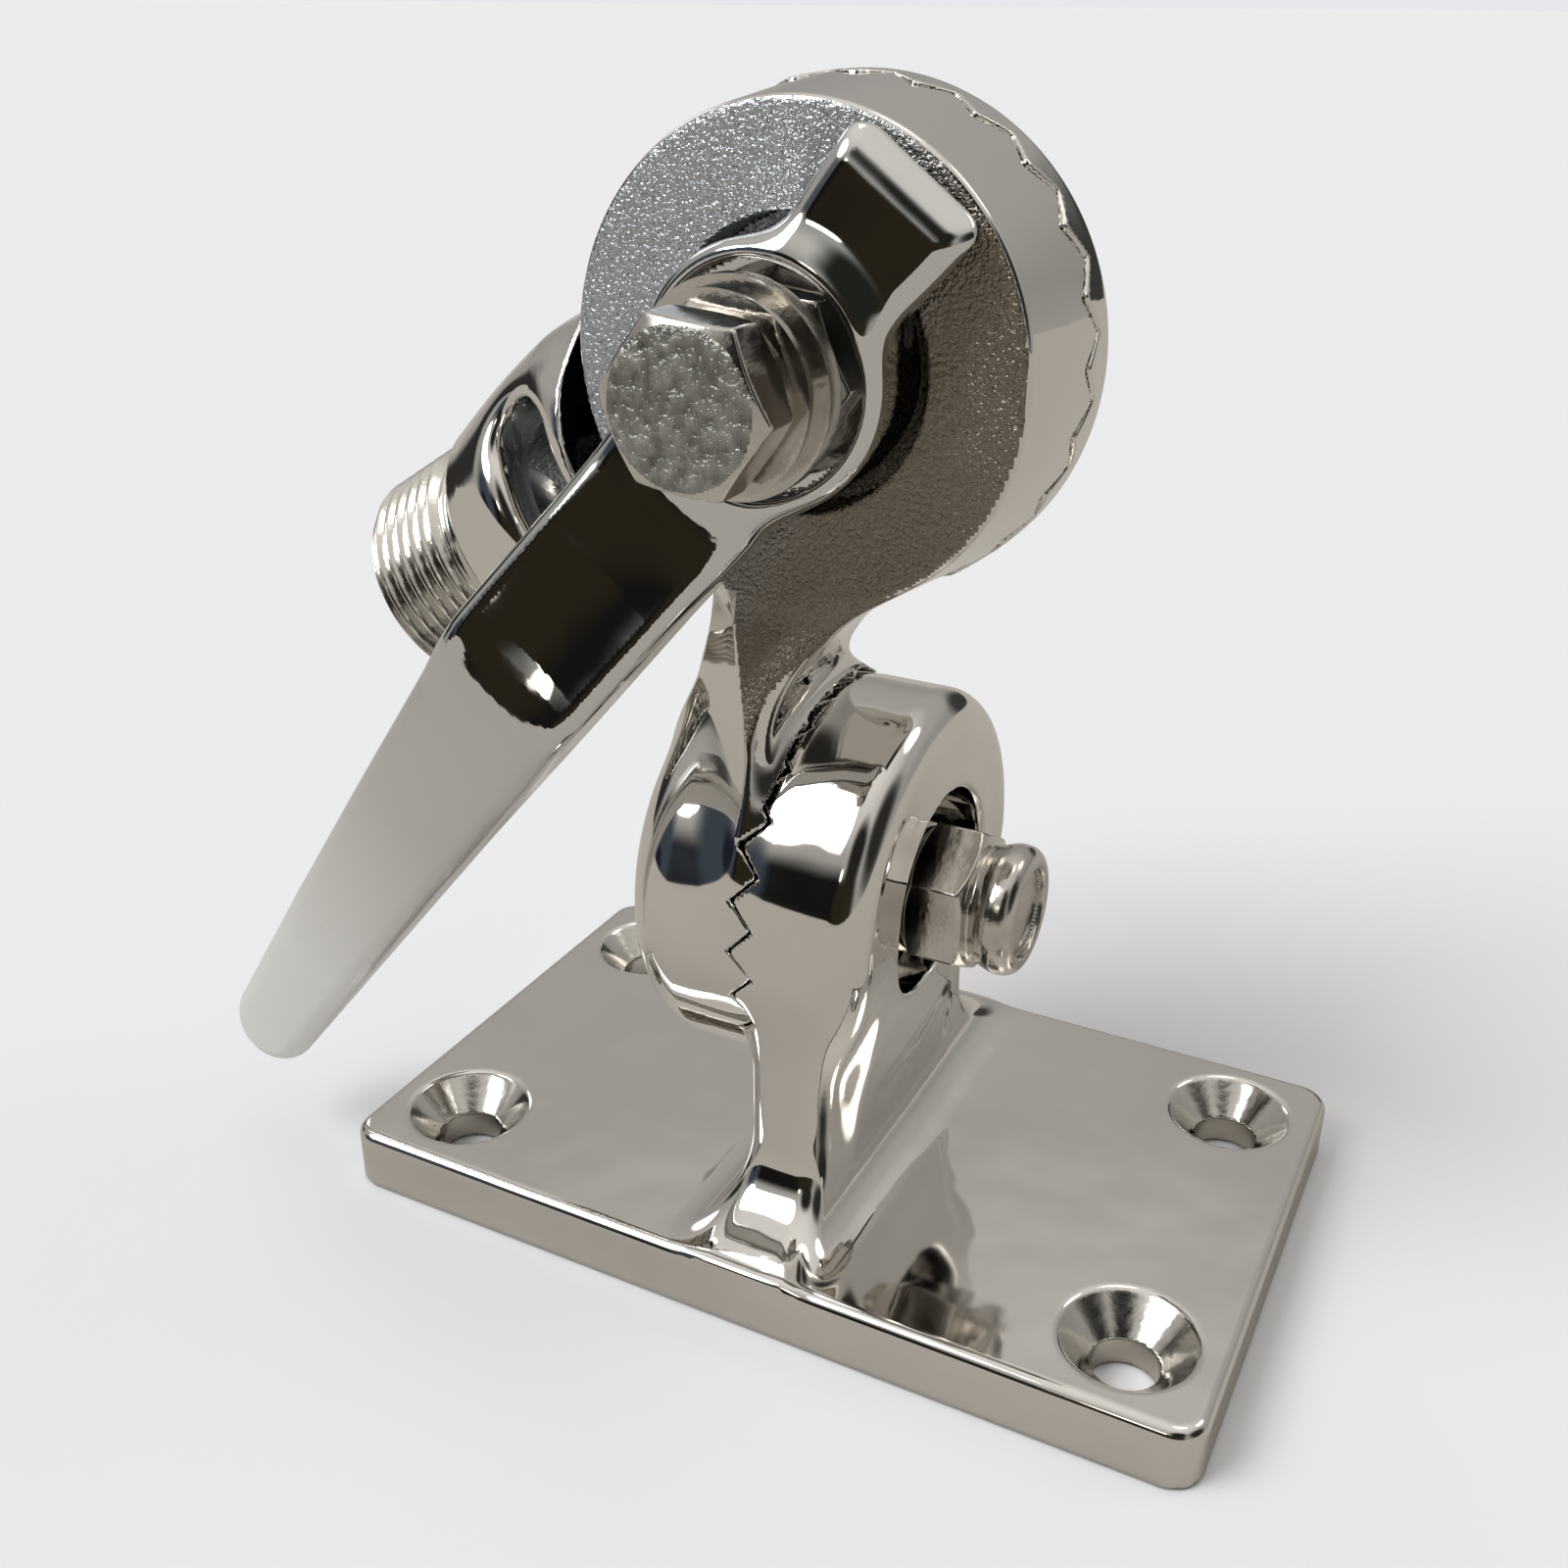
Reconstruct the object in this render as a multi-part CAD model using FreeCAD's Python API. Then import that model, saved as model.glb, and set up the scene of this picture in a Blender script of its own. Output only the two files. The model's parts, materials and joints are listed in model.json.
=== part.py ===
import FreeCAD, Part
import math
import os

# Two-axis ratchet mount for a marine antenna, cast in stainless steel. A base
# casting carries a serrated disc whose axis lies along X. An arm casting clamps
# against it, rises, and carries a second serrated disc whose axis lies along Y.
# A hollow threaded stub casting clamps against the back of that one.
# Millimetres. The origin is the centre of the base plate's underside, +Z is up,
# +X runs along the plate's long side and -Y is the side of the lever.

Vector = FreeCAD.Vector
Placement = FreeCAD.Placement
Rotation = FreeCAD.Rotation

X_DIR = Vector(1, 0, 0)
Y_DIR = Vector(0, 1, 0)
Z_DIR = Vector(0, 0, 1)

# ---- driving dimensions -----------------------------------------------------

# Base plate and its four countersunk screw holes
PLATE_LENGTH = 100.0
PLATE_WIDTH = 61.0
PLATE_THICKNESS = 7.0
PLATE_CORNER_R = 3.5
PLATE_EDGE_R = 0.9
HOLE_PITCH_X = 80.0
HOLE_PITCH_Y = 41.0
HOLE_R = 3.5
COUNTERSINK_R = 7.05

# Lower joint: axis along X
LOWER_AXIS_Z = 39.0
LOWER_DISC_R = 21.5
LOWER_TEETH_X = -2.9
LOWER_FIXED_FACE_X = 9.5
LOWER_ARM_FACE_X = -18.0

# Upper joint: axis along Y
UPPER_AXIS_X = -3.0
UPPER_AXIS_Z = 95.3
UPPER_DISC_R = 24.45
UPPER_FACE_R = 22.6
UPPER_TEETH_Y = 1.8
UPPER_ARM_FACE_Y = -11.0
UPPER_STUB_BACK_Y = 8.4

# Serrations
TOOTH_COUNT = 24
TOOTH_DEPTH = 2.6
TOOTH_TIP_SHARE = 0.8
TOOTH_GAP = 0.2

# Fasteners, all 3/8 inch
INCH = 25.4
THREAD_R = INCH * 3 / 8 / 2
SHANK_R = THREAD_R - 0.05
CLEARANCE_HOLE_R = 5.3
HEX_FLATS = INCH * 9 / 16
WASHER_BORE_R = 5.1
WASHER_R = 10.0
HEAD_HEIGHT = 6.4

# Release springs between the discs
SPRING_POCKET_R = 8.6
SPRING_MEAN_R = 6.9
SPRING_WIRE_R = 0.6
SPRING_SEAT_R = 8.3
SPRING_SEAT_THICKNESS = 1.0

# Threaded stub, 1 inch by 14 threads per inch
STUB_AXIS_Y = 1.0
STUB_DROP_DEG = 32.5
STUB_THREAD_R = 12.7
STUB_PITCH = INCH / 14
STUB_THREAD_TURNS = 7
STUB_SHOULDER = 45.0
STUB_REACH = 59.4
STUB_BORE_R = 8.0
STUB_BORE_START = 27.0
RIM_GAP = 0.9

# Lever, measured along its own length from the upper axis
LEVER_ANGLE_DEG = 53.0
LEVER_HUB_R = 12.0
LEVER_DISH_R = 10.2
LEVER_FACE_Y = -16.2
LEVER_FOOT_Y = -7.0

# Lower clamp stack, along +X through the hinge
HEAD_POCKET_R = 10.6
HEAD_POCKET_X = -9.2
NUT_POCKET_R = 11.4
NUT_POCKET_X = 2.4
HEAD_WASHER_THICKNESS = 1.6
NUT_WASHER_THICKNESS = 1.6
LOWER_JAM_HEIGHT = 4.6
LOCK_NUT_HEX_HEIGHT = 6.6
LOCK_NUT_COLLAR_HEIGHT = 5.0
LOWER_SPRING_X = -6.4
LOWER_SEAT_X = -0.4
HEAD_BACK_X = HEAD_POCKET_X - HEAD_WASHER_THICKNESS
JAM_X = NUT_POCKET_X + NUT_WASHER_THICKNESS
LOCK_X = JAM_X + LOWER_JAM_HEIGHT
COLLAR_X = LOCK_X + LOCK_NUT_HEX_HEIGHT
LOCK_END_X = COLLAR_X + LOCK_NUT_COLLAR_HEIGHT
INSERT_HEIGHT = 3.2
INSERT_R = 6.0

# Upper clamp stack, along -Y from the lever's face
STUB_TAPPED_END_Y = 11.0
JAM_NUT_HEIGHT = 4.2
FLAT_WASHER_THICKNESS = 2.0
SPRING_WASHER_THICKNESS = 2.3
JAM_NUT_Y = LEVER_FACE_Y - JAM_NUT_HEIGHT
FLAT_WASHER_Y = JAM_NUT_Y - FLAT_WASHER_THICKNESS
SPRING_WASHER_Y = FLAT_WASHER_Y - SPRING_WASHER_THICKNESS
BOLT_FACE_Y = SPRING_WASHER_Y - HEAD_HEIGHT
CLAMP_BOLT_END_Y = STUB_TAPPED_END_Y - 1.5
UPPER_SPRING_Y = -2.6
UPPER_SEAT_Y = 5.0


# ---- small helpers ----------------------------------------------------------


def along_x(x):
    """The point at x on the lower joint's axis."""
    return Vector(x, 0, LOWER_AXIS_Z)


def along_y(y):
    """The point at y on the upper joint's axis."""
    return Vector(UPPER_AXIS_X, y, UPPER_AXIS_Z)


def rod(radius, start, end):
    """A solid cylinder between two points."""
    axis = end - start
    return Part.makeCylinder(radius, axis.Length, start, axis)


def ring(outer_r, inner_r, start, end):
    """A plain washer or tube between two points."""
    return rod(outer_r, start, end).cut(rod(inner_r, start, end))


def cone(start_r, end_r, start, end):
    """A solid cone frustum between two points."""
    axis = end - start
    return Part.makeCone(start_r, end_r, axis.Length, start, axis)


def turned(profile, start, direction):
    """A solid of revolution. The profile lists (distance along, radius) points."""
    points = [Vector(radius, 0, distance) for distance, radius in profile]
    face = Part.Face(Part.makePolygon(points + points[:1]))
    solid = face.revolve(Vector(0, 0, 0), Z_DIR, 360)
    solid.Placement = Placement(start, Rotation(Z_DIR, direction))
    return solid


def hexagon(start, end, bevel_start, bevel_end):
    """A hexagonal prism with a chamfered face at either end, or both."""
    corner_r = HEX_FLATS / math.sqrt(3)
    height = (end - start).Length
    corners = [
        Vector(corner_r * math.cos(k * math.pi / 3), corner_r * math.sin(k * math.pi / 3), 0)
        for k in range(7)
    ]
    prism = Part.Face(Part.makePolygon(corners)).extrude(Vector(0, 0, height))
    prism.Placement = Placement(start, Rotation(Z_DIR, end - start))
    rise = 0.35 * (corner_r - HEX_FLATS / 2) + 0.5
    face_r = HEX_FLATS / 2 - 0.35
    profile = [(0, 0)]
    profile += [(0, face_r), (rise, corner_r + 0.05)] if bevel_start else [(0, corner_r + 0.05)]
    if bevel_end:
        profile += [(height - rise, corner_r + 0.05), (height, face_r)]
    else:
        profile += [(height, corner_r + 0.05)]
    profile += [(height, 0)]
    return prism.common(turned(profile, start, end - start))


def rounded_rectangle(centre, half_u, half_v, corner_r, u_dir, v_dir):
    """A closed wire of four straight sides and four quarter-circle corners."""
    edges = []
    diagonal = math.sqrt(0.5)
    for sign_u, sign_v in ((1, 1), (-1, 1), (-1, -1), (1, -1)):
        core = centre + u_dir * (sign_u * (half_u - corner_r)) + v_dir * (sign_v * (half_v - corner_r))
        on_u = core + u_dir * (sign_u * corner_r)
        on_v = core + v_dir * (sign_v * corner_r)
        middle = core + (u_dir * sign_u + v_dir * sign_v) * (corner_r * diagonal)
        first, last = (on_u, on_v) if sign_u == sign_v else (on_v, on_u)
        edges.append(Part.Arc(first, middle, last).toShape())
    outline = []
    for number, arc in enumerate(edges):
        following = edges[(number + 1) % 4]
        outline.append(arc)
        outline.append(Part.makeLine(arc.lastVertex(True).Point, following.firstVertex(True).Point))
    return Part.Wire(outline)


def serration_cutter(disc_r, reach_r, depth, sign):
    """The space to clear in front of a casting's serrated face.

    The face lies across Z at the origin, and the casting is on its +Z side for
    sign 1 or its -Z side for sign -1. Every flank is a plane through the centre,
    so two such faces mesh at every whole tooth. The casting's teeth stop short
    of the other casting's valleys by TOOTH_TIP_SHARE, and its whole face stands
    back by half of TOOTH_GAP. The space reaches out to reach_r and to depth.
    """
    pitch = 2 * math.pi / TOOTH_COUNT
    half_height = TOOTH_DEPTH / 2 * reach_r / disc_r
    flat_half = pitch / 4 * (1 - TOOTH_TIP_SHARE)
    first_valley = pitch / 2 if sign > 0 else 0
    centre = Vector(0, 0, sign * TOOTH_GAP / 2)
    rim = []
    for tooth in range(TOOTH_COUNT):
        valley = first_valley + tooth * pitch
        tip = valley + pitch / 2
        tip_height = -sign * half_height * TOOTH_TIP_SHARE
        corners = (valley, sign * half_height), (tip - flat_half, tip_height), (tip + flat_half, tip_height)
        for angle, height in corners:
            rim.append(centre + Vector(reach_r * math.cos(angle), reach_r * math.sin(angle), height))
    far = [Vector(point.x, point.y, -sign * depth) for point in rim]
    faces = []
    for number, point in enumerate(rim):
        following = (number + 1) % len(rim)
        faces.append(Part.Face(Part.makePolygon([centre, point, rim[following], centre])))
        side = [point, rim[following], far[following], far[number], point]
        faces.append(Part.Face(Part.makePolygon(side)))
    faces.append(Part.Face(Part.makePolygon(far + far[:1])))
    space = Part.Solid(Part.Shell(faces))
    if space.Volume < 0:
        space.reverse()
    inside_r = reach_r * math.cos(pitch / 2)
    return space.common(Part.makeCylinder(inside_r, 2 * depth, Vector(0, 0, -depth)))


def facing(shape, centre, direction, tooth_up):
    """Turn a shape built on Z to another axis, with its first valley along tooth_up."""
    side = direction.cross(tooth_up)
    shape.Placement = Placement(FreeCAD.Matrix(
        tooth_up.x, side.x, direction.x, centre.x,
        tooth_up.y, side.y, direction.y, centre.y,
        tooth_up.z, side.z, direction.z, centre.z,
        0, 0, 0, 1,
    ))
    return shape


def lower_serration(sign, depth, reach_r):
    """The space in front of the lower serrated face of the casting on the +X or -X side."""
    space = serration_cutter(LOWER_DISC_R, reach_r, depth, sign)
    return facing(space, along_x(LOWER_TEETH_X), X_DIR, Z_DIR)


def upper_serration(sign, depth, reach_r):
    """The space in front of the upper serrated face of the casting on the +Y or -Y side."""
    space = serration_cutter(UPPER_DISC_R, reach_r, depth, sign)
    return facing(space, along_y(UPPER_TEETH_Y), Y_DIR, Z_DIR)


# ---- base casting -----------------------------------------------------------

FIN_HALF_WIDTH = 20.3
FIN_LEFT_X = -3.0
FIN_EDGE_X = 5.0
FIN_BULGE_X = 9.5
FIN_BULGE_HALF = 9.0
FOOT_FLARE_R = 8.2
DISC_EDGE_R = 2.5
TAPER_TOP_Z = 35.0
TAPER_FOOT_Z = 23.0


def base_plate():
    """The rounded plate with four countersunk holes."""
    outline = rounded_rectangle(
        Vector(0, 0, 0), PLATE_LENGTH / 2, PLATE_WIDTH / 2, PLATE_CORNER_R, X_DIR, Y_DIR
    )
    plate = Part.Face(outline).extrude(Vector(0, 0, PLATE_THICKNESS))
    top_edges = [edge for edge in plate.Edges if edge.BoundBox.ZMin > PLATE_THICKNESS - 0.01]
    plate = plate.makeFillet(PLATE_EDGE_R, top_edges)
    for sign_x in (-1, 1):
        for sign_y in (-1, 1):
            hole = Vector(sign_x * HOLE_PITCH_X / 2, sign_y * HOLE_PITCH_Y / 2, 0)
            top = hole + Vector(0, 0, PLATE_THICKNESS)
            sink = cone(HOLE_R, COUNTERSINK_R, top - Vector(0, 0, COUNTERSINK_R - HOLE_R), top)
            plate = plate.cut(rod(HOLE_R, hole, top)).cut(sink)
    return plate


def base_fin():
    """The upright web: flat on the left, bulging on the right, flared at its foot."""
    flare_y = FIN_HALF_WIDTH + FOOT_FLARE_R
    flare_z = PLATE_THICKNESS + FOOT_FLARE_R
    slope = FOOT_FLARE_R * (1 - math.sqrt(0.5))
    shoulder_z = LOWER_AXIS_Z - 4

    def side(sign):
        """The fin's front or back edge, from the plate up to the disc."""
        return [
            Part.Arc(
                Vector(0, sign * flare_y, PLATE_THICKNESS),
                Vector(0, sign * (FIN_HALF_WIDTH + slope), PLATE_THICKNESS + slope),
                Vector(0, sign * FIN_HALF_WIDTH, flare_z),
            ).toShape(),
            Part.makeLine(
                Vector(0, sign * FIN_HALF_WIDTH, flare_z), Vector(0, sign * FIN_HALF_WIDTH, shoulder_z)
            ),
        ]

    low_z = PLATE_THICKNESS - 2
    edges = side(1) + side(-1)
    edges.append(Part.makeLine(
        Vector(0, FIN_HALF_WIDTH, shoulder_z), Vector(0, -FIN_HALF_WIDTH, shoulder_z)
    ))
    for sign in (1, -1):
        edges.append(Part.makeLine(
            Vector(0, sign * flare_y, PLATE_THICKNESS), Vector(0, sign * flare_y, low_z)
        ))
    edges.append(Part.makeLine(Vector(0, flare_y, low_z), Vector(0, -flare_y, low_z)))
    profile = Part.Face(Part.Wire(Part.__sortEdges__(edges)))
    profile.translate(Vector(FIN_LEFT_X, 0, 0))
    slab = profile.extrude(Vector(FIN_BULGE_X - FIN_LEFT_X, 0, 0))

    bulge = Part.BSplineCurve()
    valley = FIN_BULGE_HALF + 5
    bulge.interpolate([
        Vector(FIN_EDGE_X, -flare_y, 0),
        Vector(FIN_EDGE_X, -FIN_HALF_WIDTH, 0),
        Vector(FIN_EDGE_X, -valley, 0),
        Vector(FIN_BULGE_X - 1, -FIN_BULGE_HALF / 2, 0),
        Vector(FIN_BULGE_X - 1, FIN_BULGE_HALF / 2, 0),
        Vector(FIN_EDGE_X, valley, 0),
        Vector(FIN_EDGE_X, FIN_HALF_WIDTH, 0),
        Vector(FIN_EDGE_X, flare_y, 0),
    ])
    section = Part.Wire([
        bulge.toShape(),
        Part.makeLine(Vector(FIN_EDGE_X, flare_y, 0), Vector(FIN_LEFT_X, flare_y, 0)),
        Part.makeLine(Vector(FIN_LEFT_X, flare_y, 0), Vector(FIN_LEFT_X, -flare_y, 0)),
        Part.makeLine(Vector(FIN_LEFT_X, -flare_y, 0), Vector(FIN_EDGE_X, -flare_y, 0)),
    ])
    column = Part.Face(section).extrude(Vector(0, 0, LOWER_AXIS_Z))
    return slab.common(column)


def disc_taper():
    """The space to clear where the disc's right side leans in to meet the fin's edges."""
    far_x = LOWER_FIXED_FACE_X + 5
    corners = [
        Vector(LOWER_FIXED_FACE_X + 0.5, 0, TAPER_TOP_Z),
        Vector(FIN_EDGE_X, 0, TAPER_FOOT_Z),
        Vector(FIN_EDGE_X, 0, 0),
        Vector(far_x, 0, 0),
        Vector(far_x, 0, TAPER_TOP_Z),
    ]
    wedge = Part.Face(Part.makePolygon(corners + corners[:1])).extrude(Vector(0, 2 * LOWER_DISC_R, 0))
    wedge.translate(Vector(0, -LOWER_DISC_R, 0))
    return wedge.cut(Part.makeBox(
        far_x, 2 * FIN_BULGE_HALF, LOWER_AXIS_Z, Vector(0, -FIN_BULGE_HALF, 0)
    ))


def base_casting():
    """Plate, fin and fixed serrated disc in one casting."""
    disc = rod(LOWER_DISC_R, along_x(LOWER_TEETH_X - TOOTH_DEPTH), along_x(LOWER_FIXED_FACE_X))
    outer = [edge for edge in disc.Edges if edge.BoundBox.XMin > LOWER_FIXED_FACE_X - 0.01]
    disc = disc.makeFillet(DISC_EDGE_R, outer).cut(disc_taper())
    body = base_plate().fuse(base_fin()).fuse(disc).removeSplitter()
    teeth_reach = LOWER_DISC_R + 1.5
    body = body.cut(lower_serration(1, LOWER_TEETH_X - LOWER_ARM_FACE_X, teeth_reach))
    pocket_end = LOWER_SEAT_X + SPRING_SEAT_THICKNESS
    body = body.cut(rod(SPRING_POCKET_R, along_x(LOWER_TEETH_X - TOOTH_DEPTH), along_x(pocket_end)))
    body = body.cut(rod(CLEARANCE_HOLE_R, along_x(LOWER_TEETH_X), along_x(NUT_POCKET_X)))
    return body.cut(rod(NUT_POCKET_R, along_x(NUT_POCKET_X), along_x(LOWER_FIXED_FACE_X + 1)))


# ---- arm casting ------------------------------------------------------------

ARM_EDGE_R = 6.0
RECESS_R = 13.4
RECESS_Y = -5.5
RIM_FACE_R = 22.9

# Neck sections, from the lower disc up: height, left, right, front and back
NECK_SECTIONS = (
    (46.0, -17.4, -3.2, -19.0, 19.0),
    (56.0, -17.2, -3.2, -16.8, 13.5),
    (63.0, -15.2, -3.2, -13.2, 4.5),
    (69.0, -12.6, 0.5, -11.6, 1.4),
    (77.0, -12.8, 9.0, -11.0, 1.4),
)


def arm_neck():
    """The upright web between the two discs of the arm."""
    wires = []
    for height, left, right, front, back in NECK_SECTIONS:
        centre = Vector((left + right) / 2, (front + back) / 2, height)
        half_x = (right - left) / 2
        half_y = (back - front) / 2
        wires.append(rounded_rectangle(centre, half_x, half_y, 0.45 * min(half_x, half_y), X_DIR, Y_DIR))
    return Part.makeLoft(wires, True, False)


def tilt_arm():
    """Lower serrated disc, neck and upper serrated disc in one casting."""
    lower = rod(LOWER_DISC_R, along_x(LOWER_ARM_FACE_X), along_x(LOWER_TEETH_X + TOOTH_DEPTH))
    outer = [edge for edge in lower.Edges if edge.BoundBox.XMax < LOWER_ARM_FACE_X + 0.01]
    lower = lower.makeFillet(ARM_EDGE_R, outer)
    upper = turned(
        [
            (0, 0),
            (0, UPPER_FACE_R),
            (0.4, RIM_FACE_R),
            (UPPER_TEETH_Y + TOOTH_DEPTH - UPPER_ARM_FACE_Y, UPPER_DISC_R),
            (UPPER_TEETH_Y + TOOTH_DEPTH - UPPER_ARM_FACE_Y, 0),
        ],
        along_y(UPPER_ARM_FACE_Y),
        Y_DIR,
    )
    body = lower.fuse(arm_neck()).fuse(upper)
    body = body.cut(lower_serration(-1, LOWER_FIXED_FACE_X - LOWER_TEETH_X, LOWER_DISC_R + RIM_GAP))
    body = body.cut(upper_serration(-1, UPPER_STUB_BACK_Y - UPPER_TEETH_Y, UPPER_DISC_R + 3))
    body = body.cut(rod(HEAD_POCKET_R, along_x(LOWER_ARM_FACE_X - 1), along_x(HEAD_POCKET_X)))
    body = body.cut(rod(CLEARANCE_HOLE_R, along_x(HEAD_POCKET_X), along_x(0)))
    body = body.cut(rod(SPRING_POCKET_R, along_x(LOWER_SPRING_X), along_x(0)))
    body = body.cut(rod(RECESS_R, along_y(UPPER_ARM_FACE_Y - 1), along_y(RECESS_Y)))
    body = body.cut(rod(CLEARANCE_HOLE_R, along_y(RECESS_Y), along_y(UPPER_STUB_BACK_Y)))
    return body.cut(rod(SPRING_POCKET_R, along_y(UPPER_SPRING_Y), along_y(UPPER_STUB_BACK_Y)))


# ---- stub casting -----------------------------------------------------------

STUB_BOSS_R = 13.0
STUB_BOSS_Y = 13.0
STUB_RELIEF_R = 11.4
SLOT_CENTRE = 31.5
SLOT_HALF_WIDTH = 4.2
SLOT_HALF_LENGTH = 10.0

# The upper side of the bulb stands higher by BULB_LIFT, up to BULB_LIFT_END along it
BULB_LIFT = 1.8
BULB_LIFT_END = 36.0
# Half height of the bulb along the stub's axis: distance from the upper axis, radius
BULB_PROFILE = ((6.0, 9.0), (14.0, 13.4), (24.0, 14.9), (33.0, 14.8), (40.0, 14.0), (45.0, 12.9))


def stub_direction():
    """The way the threaded stub points, from the upper axis outward."""
    drop = math.radians(STUB_DROP_DEG)
    return Vector(-math.cos(drop), 0, -math.sin(drop))


def along_stub(distance):
    """The point at this distance from the upper axis on the stub's own axis."""
    return along_y(STUB_AXIS_Y) + stub_direction() * distance


def stub_bulb():
    """The swelling between the disc and the thread."""
    curve = Part.BSplineCurve()
    curve.interpolate([Vector(radius, 0, distance) for distance, radius in BULB_PROFILE])
    start, end = BULB_PROFILE[0], BULB_PROFILE[-1]
    outline = Part.Wire([
        curve.toShape(),
        Part.makeLine(Vector(end[1], 0, end[0]), Vector(0, 0, end[0])),
        Part.makeLine(Vector(0, 0, end[0]), Vector(0, 0, start[0])),
        Part.makeLine(Vector(0, 0, start[0]), Vector(start[1], 0, start[0])),
    ])
    bulb = Part.Face(outline).revolve(Vector(0, 0, 0), Z_DIR, 360)
    bulb.Placement = Placement(along_stub(0), Rotation(Z_DIR, stub_direction()))
    upper_half = bulb.copy()
    upper_half.translate(Y_DIR.cross(stub_direction()) * BULB_LIFT)
    past_shoulder = rod(2 * STUB_THREAD_R, along_stub(BULB_LIFT_END), along_stub(STUB_REACH))
    return bulb.fuse(upper_half.cut(past_shoulder))


def stub_thread():
    """The plain relief and the ridges of the 1 inch thread, with a chamfered end."""
    depth = 0.61 * STUB_PITCH
    crest = STUB_PITCH / 8
    relief_end = STUB_REACH - STUB_THREAD_TURNS * STUB_PITCH
    profile = [(STUB_SHOULDER - 1, 0), (STUB_SHOULDER - 1, STUB_RELIEF_R), (relief_end, STUB_RELIEF_R)]
    flank = (STUB_PITCH - 2 * crest) / 2
    for turn in range(STUB_THREAD_TURNS):
        root = relief_end + turn * STUB_PITCH
        profile += [
            (root + crest / 2, STUB_THREAD_R - depth),
            (root + crest / 2 + flank, STUB_THREAD_R),
            (root + crest * 1.5 + flank, STUB_THREAD_R),
            (root + crest * 1.5 + 2 * flank, STUB_THREAD_R - depth),
        ]
    profile += [(STUB_REACH, STUB_THREAD_R - depth), (STUB_REACH, 0)]
    return turned(profile, along_stub(0), stub_direction())


def antenna_stub():
    """Serrated disc, bulb and hollow threaded stub in one casting."""
    thickness = UPPER_STUB_BACK_Y - UPPER_TEETH_Y + TOOTH_DEPTH
    disc = rod(UPPER_DISC_R, along_y(UPPER_STUB_BACK_Y - thickness), along_y(UPPER_STUB_BACK_Y))
    outer = [edge for edge in disc.Edges if edge.BoundBox.YMin > UPPER_STUB_BACK_Y - 0.01]
    disc = disc.makeFillet(3.0, outer)
    boss = cone(STUB_BOSS_R + 3, STUB_BOSS_R, along_y(UPPER_STUB_BACK_Y - 1), along_y(STUB_BOSS_Y))
    body = disc.fuse(boss).fuse(stub_bulb()).fuse(stub_thread())
    body = body.cut(upper_serration(1, 2 * STUB_THREAD_R, UPPER_DISC_R + RIM_GAP))
    body = body.cut(rod(STUB_BORE_R, along_stub(STUB_BORE_START), along_stub(STUB_REACH + 1)))
    slot = rounded_rectangle(
        along_stub(SLOT_CENTRE),
        SLOT_HALF_WIDTH,
        SLOT_HALF_LENGTH,
        SLOT_HALF_WIDTH * 0.98,
        stub_direction(),
        stub_direction().cross(Y_DIR),
    )
    body = body.cut(Part.Face(slot).extrude(Vector(0, -2 * STUB_THREAD_R, 0)))
    body = body.cut(rod(SPRING_POCKET_R, along_y(0), along_y(UPPER_SEAT_Y + SPRING_SEAT_THICKNESS)))
    return body.cut(rod(THREAD_R, along_y(0), along_y(STUB_TAPPED_END_Y)))


# ---- lever ------------------------------------------------------------------

# Along the lever from the tail to the tip of the paddle:
# distance from the upper axis, half width, centre in y, thickness
LEVER_SECTIONS = (
    (-23.6, 7.6, -15.5, 6.4),
    (-17.0, 7.0, -15.6, 7.2),
    (-9.0, 6.6, -15.2, 7.6),
    (2.0, 9.6, -14.8, 7.4),
    (12.0, 8.8, -16.0, 7.6),
    (21.0, 8.3, -19.2, 7.6),
    (36.0, 8.3, -24.2, 7.4),
    (55.0, 7.6, -26.0, 6.6),
    (80.0, 6.2, -26.3, 5.6),
    (101.0, 5.0, -26.0, 4.6),
)


def lever_direction():
    """The way the lever's paddle points, from the upper axis outward."""
    angle = math.radians(LEVER_ANGLE_DEG)
    return Vector(-math.cos(angle), 0, -math.sin(angle))


def lever_handle():
    """Tail, hub and stepped paddle in one casting."""
    along = lever_direction()
    across = along.cross(Y_DIR)
    wires = []
    for distance, half_width, middle_y, thickness in LEVER_SECTIONS:
        centre = along_y(middle_y) + along * distance
        wires.append(rounded_rectangle(centre, half_width, thickness / 2, 0.42 * thickness, across, Y_DIR))
    blade = Part.makeLoft(wires, True, True)
    hub = rod(LEVER_HUB_R, along_y(LEVER_FACE_Y), along_y(LEVER_FOOT_Y))
    front = [edge for edge in hub.Edges if edge.BoundBox.YMax < LEVER_FACE_Y + 0.01]
    hub = hub.makeFillet(2.0, front)
    tip_distance, tip_half, tip_y, tip_thickness = LEVER_SECTIONS[-1]
    tip = along_y(tip_y) + along * tip_distance
    half_end = Y_DIR * (tip_thickness / 2 - 0.3)
    end = rod(tip_half - 0.3, tip - half_end, tip + half_end)
    body = hub.fuse(blade).fuse(end)
    body = body.cut(rod(LEVER_DISH_R, along_y(LEVER_FACE_Y), along_y(BOLT_FACE_Y)))
    return body.cut(rod(THREAD_R + 0.02, along_y(LEVER_FACE_Y), along_y(LEVER_FOOT_Y)))


# ---- upper clamp stack ------------------------------------------------------


def lever_jam_nut():
    """Thin nut that locks the lever on the clamp bolt."""
    nut = hexagon(along_y(LEVER_FACE_Y), along_y(JAM_NUT_Y), False, True)
    return nut.cut(rod(THREAD_R, along_y(LEVER_FACE_Y), along_y(JAM_NUT_Y)))


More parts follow.
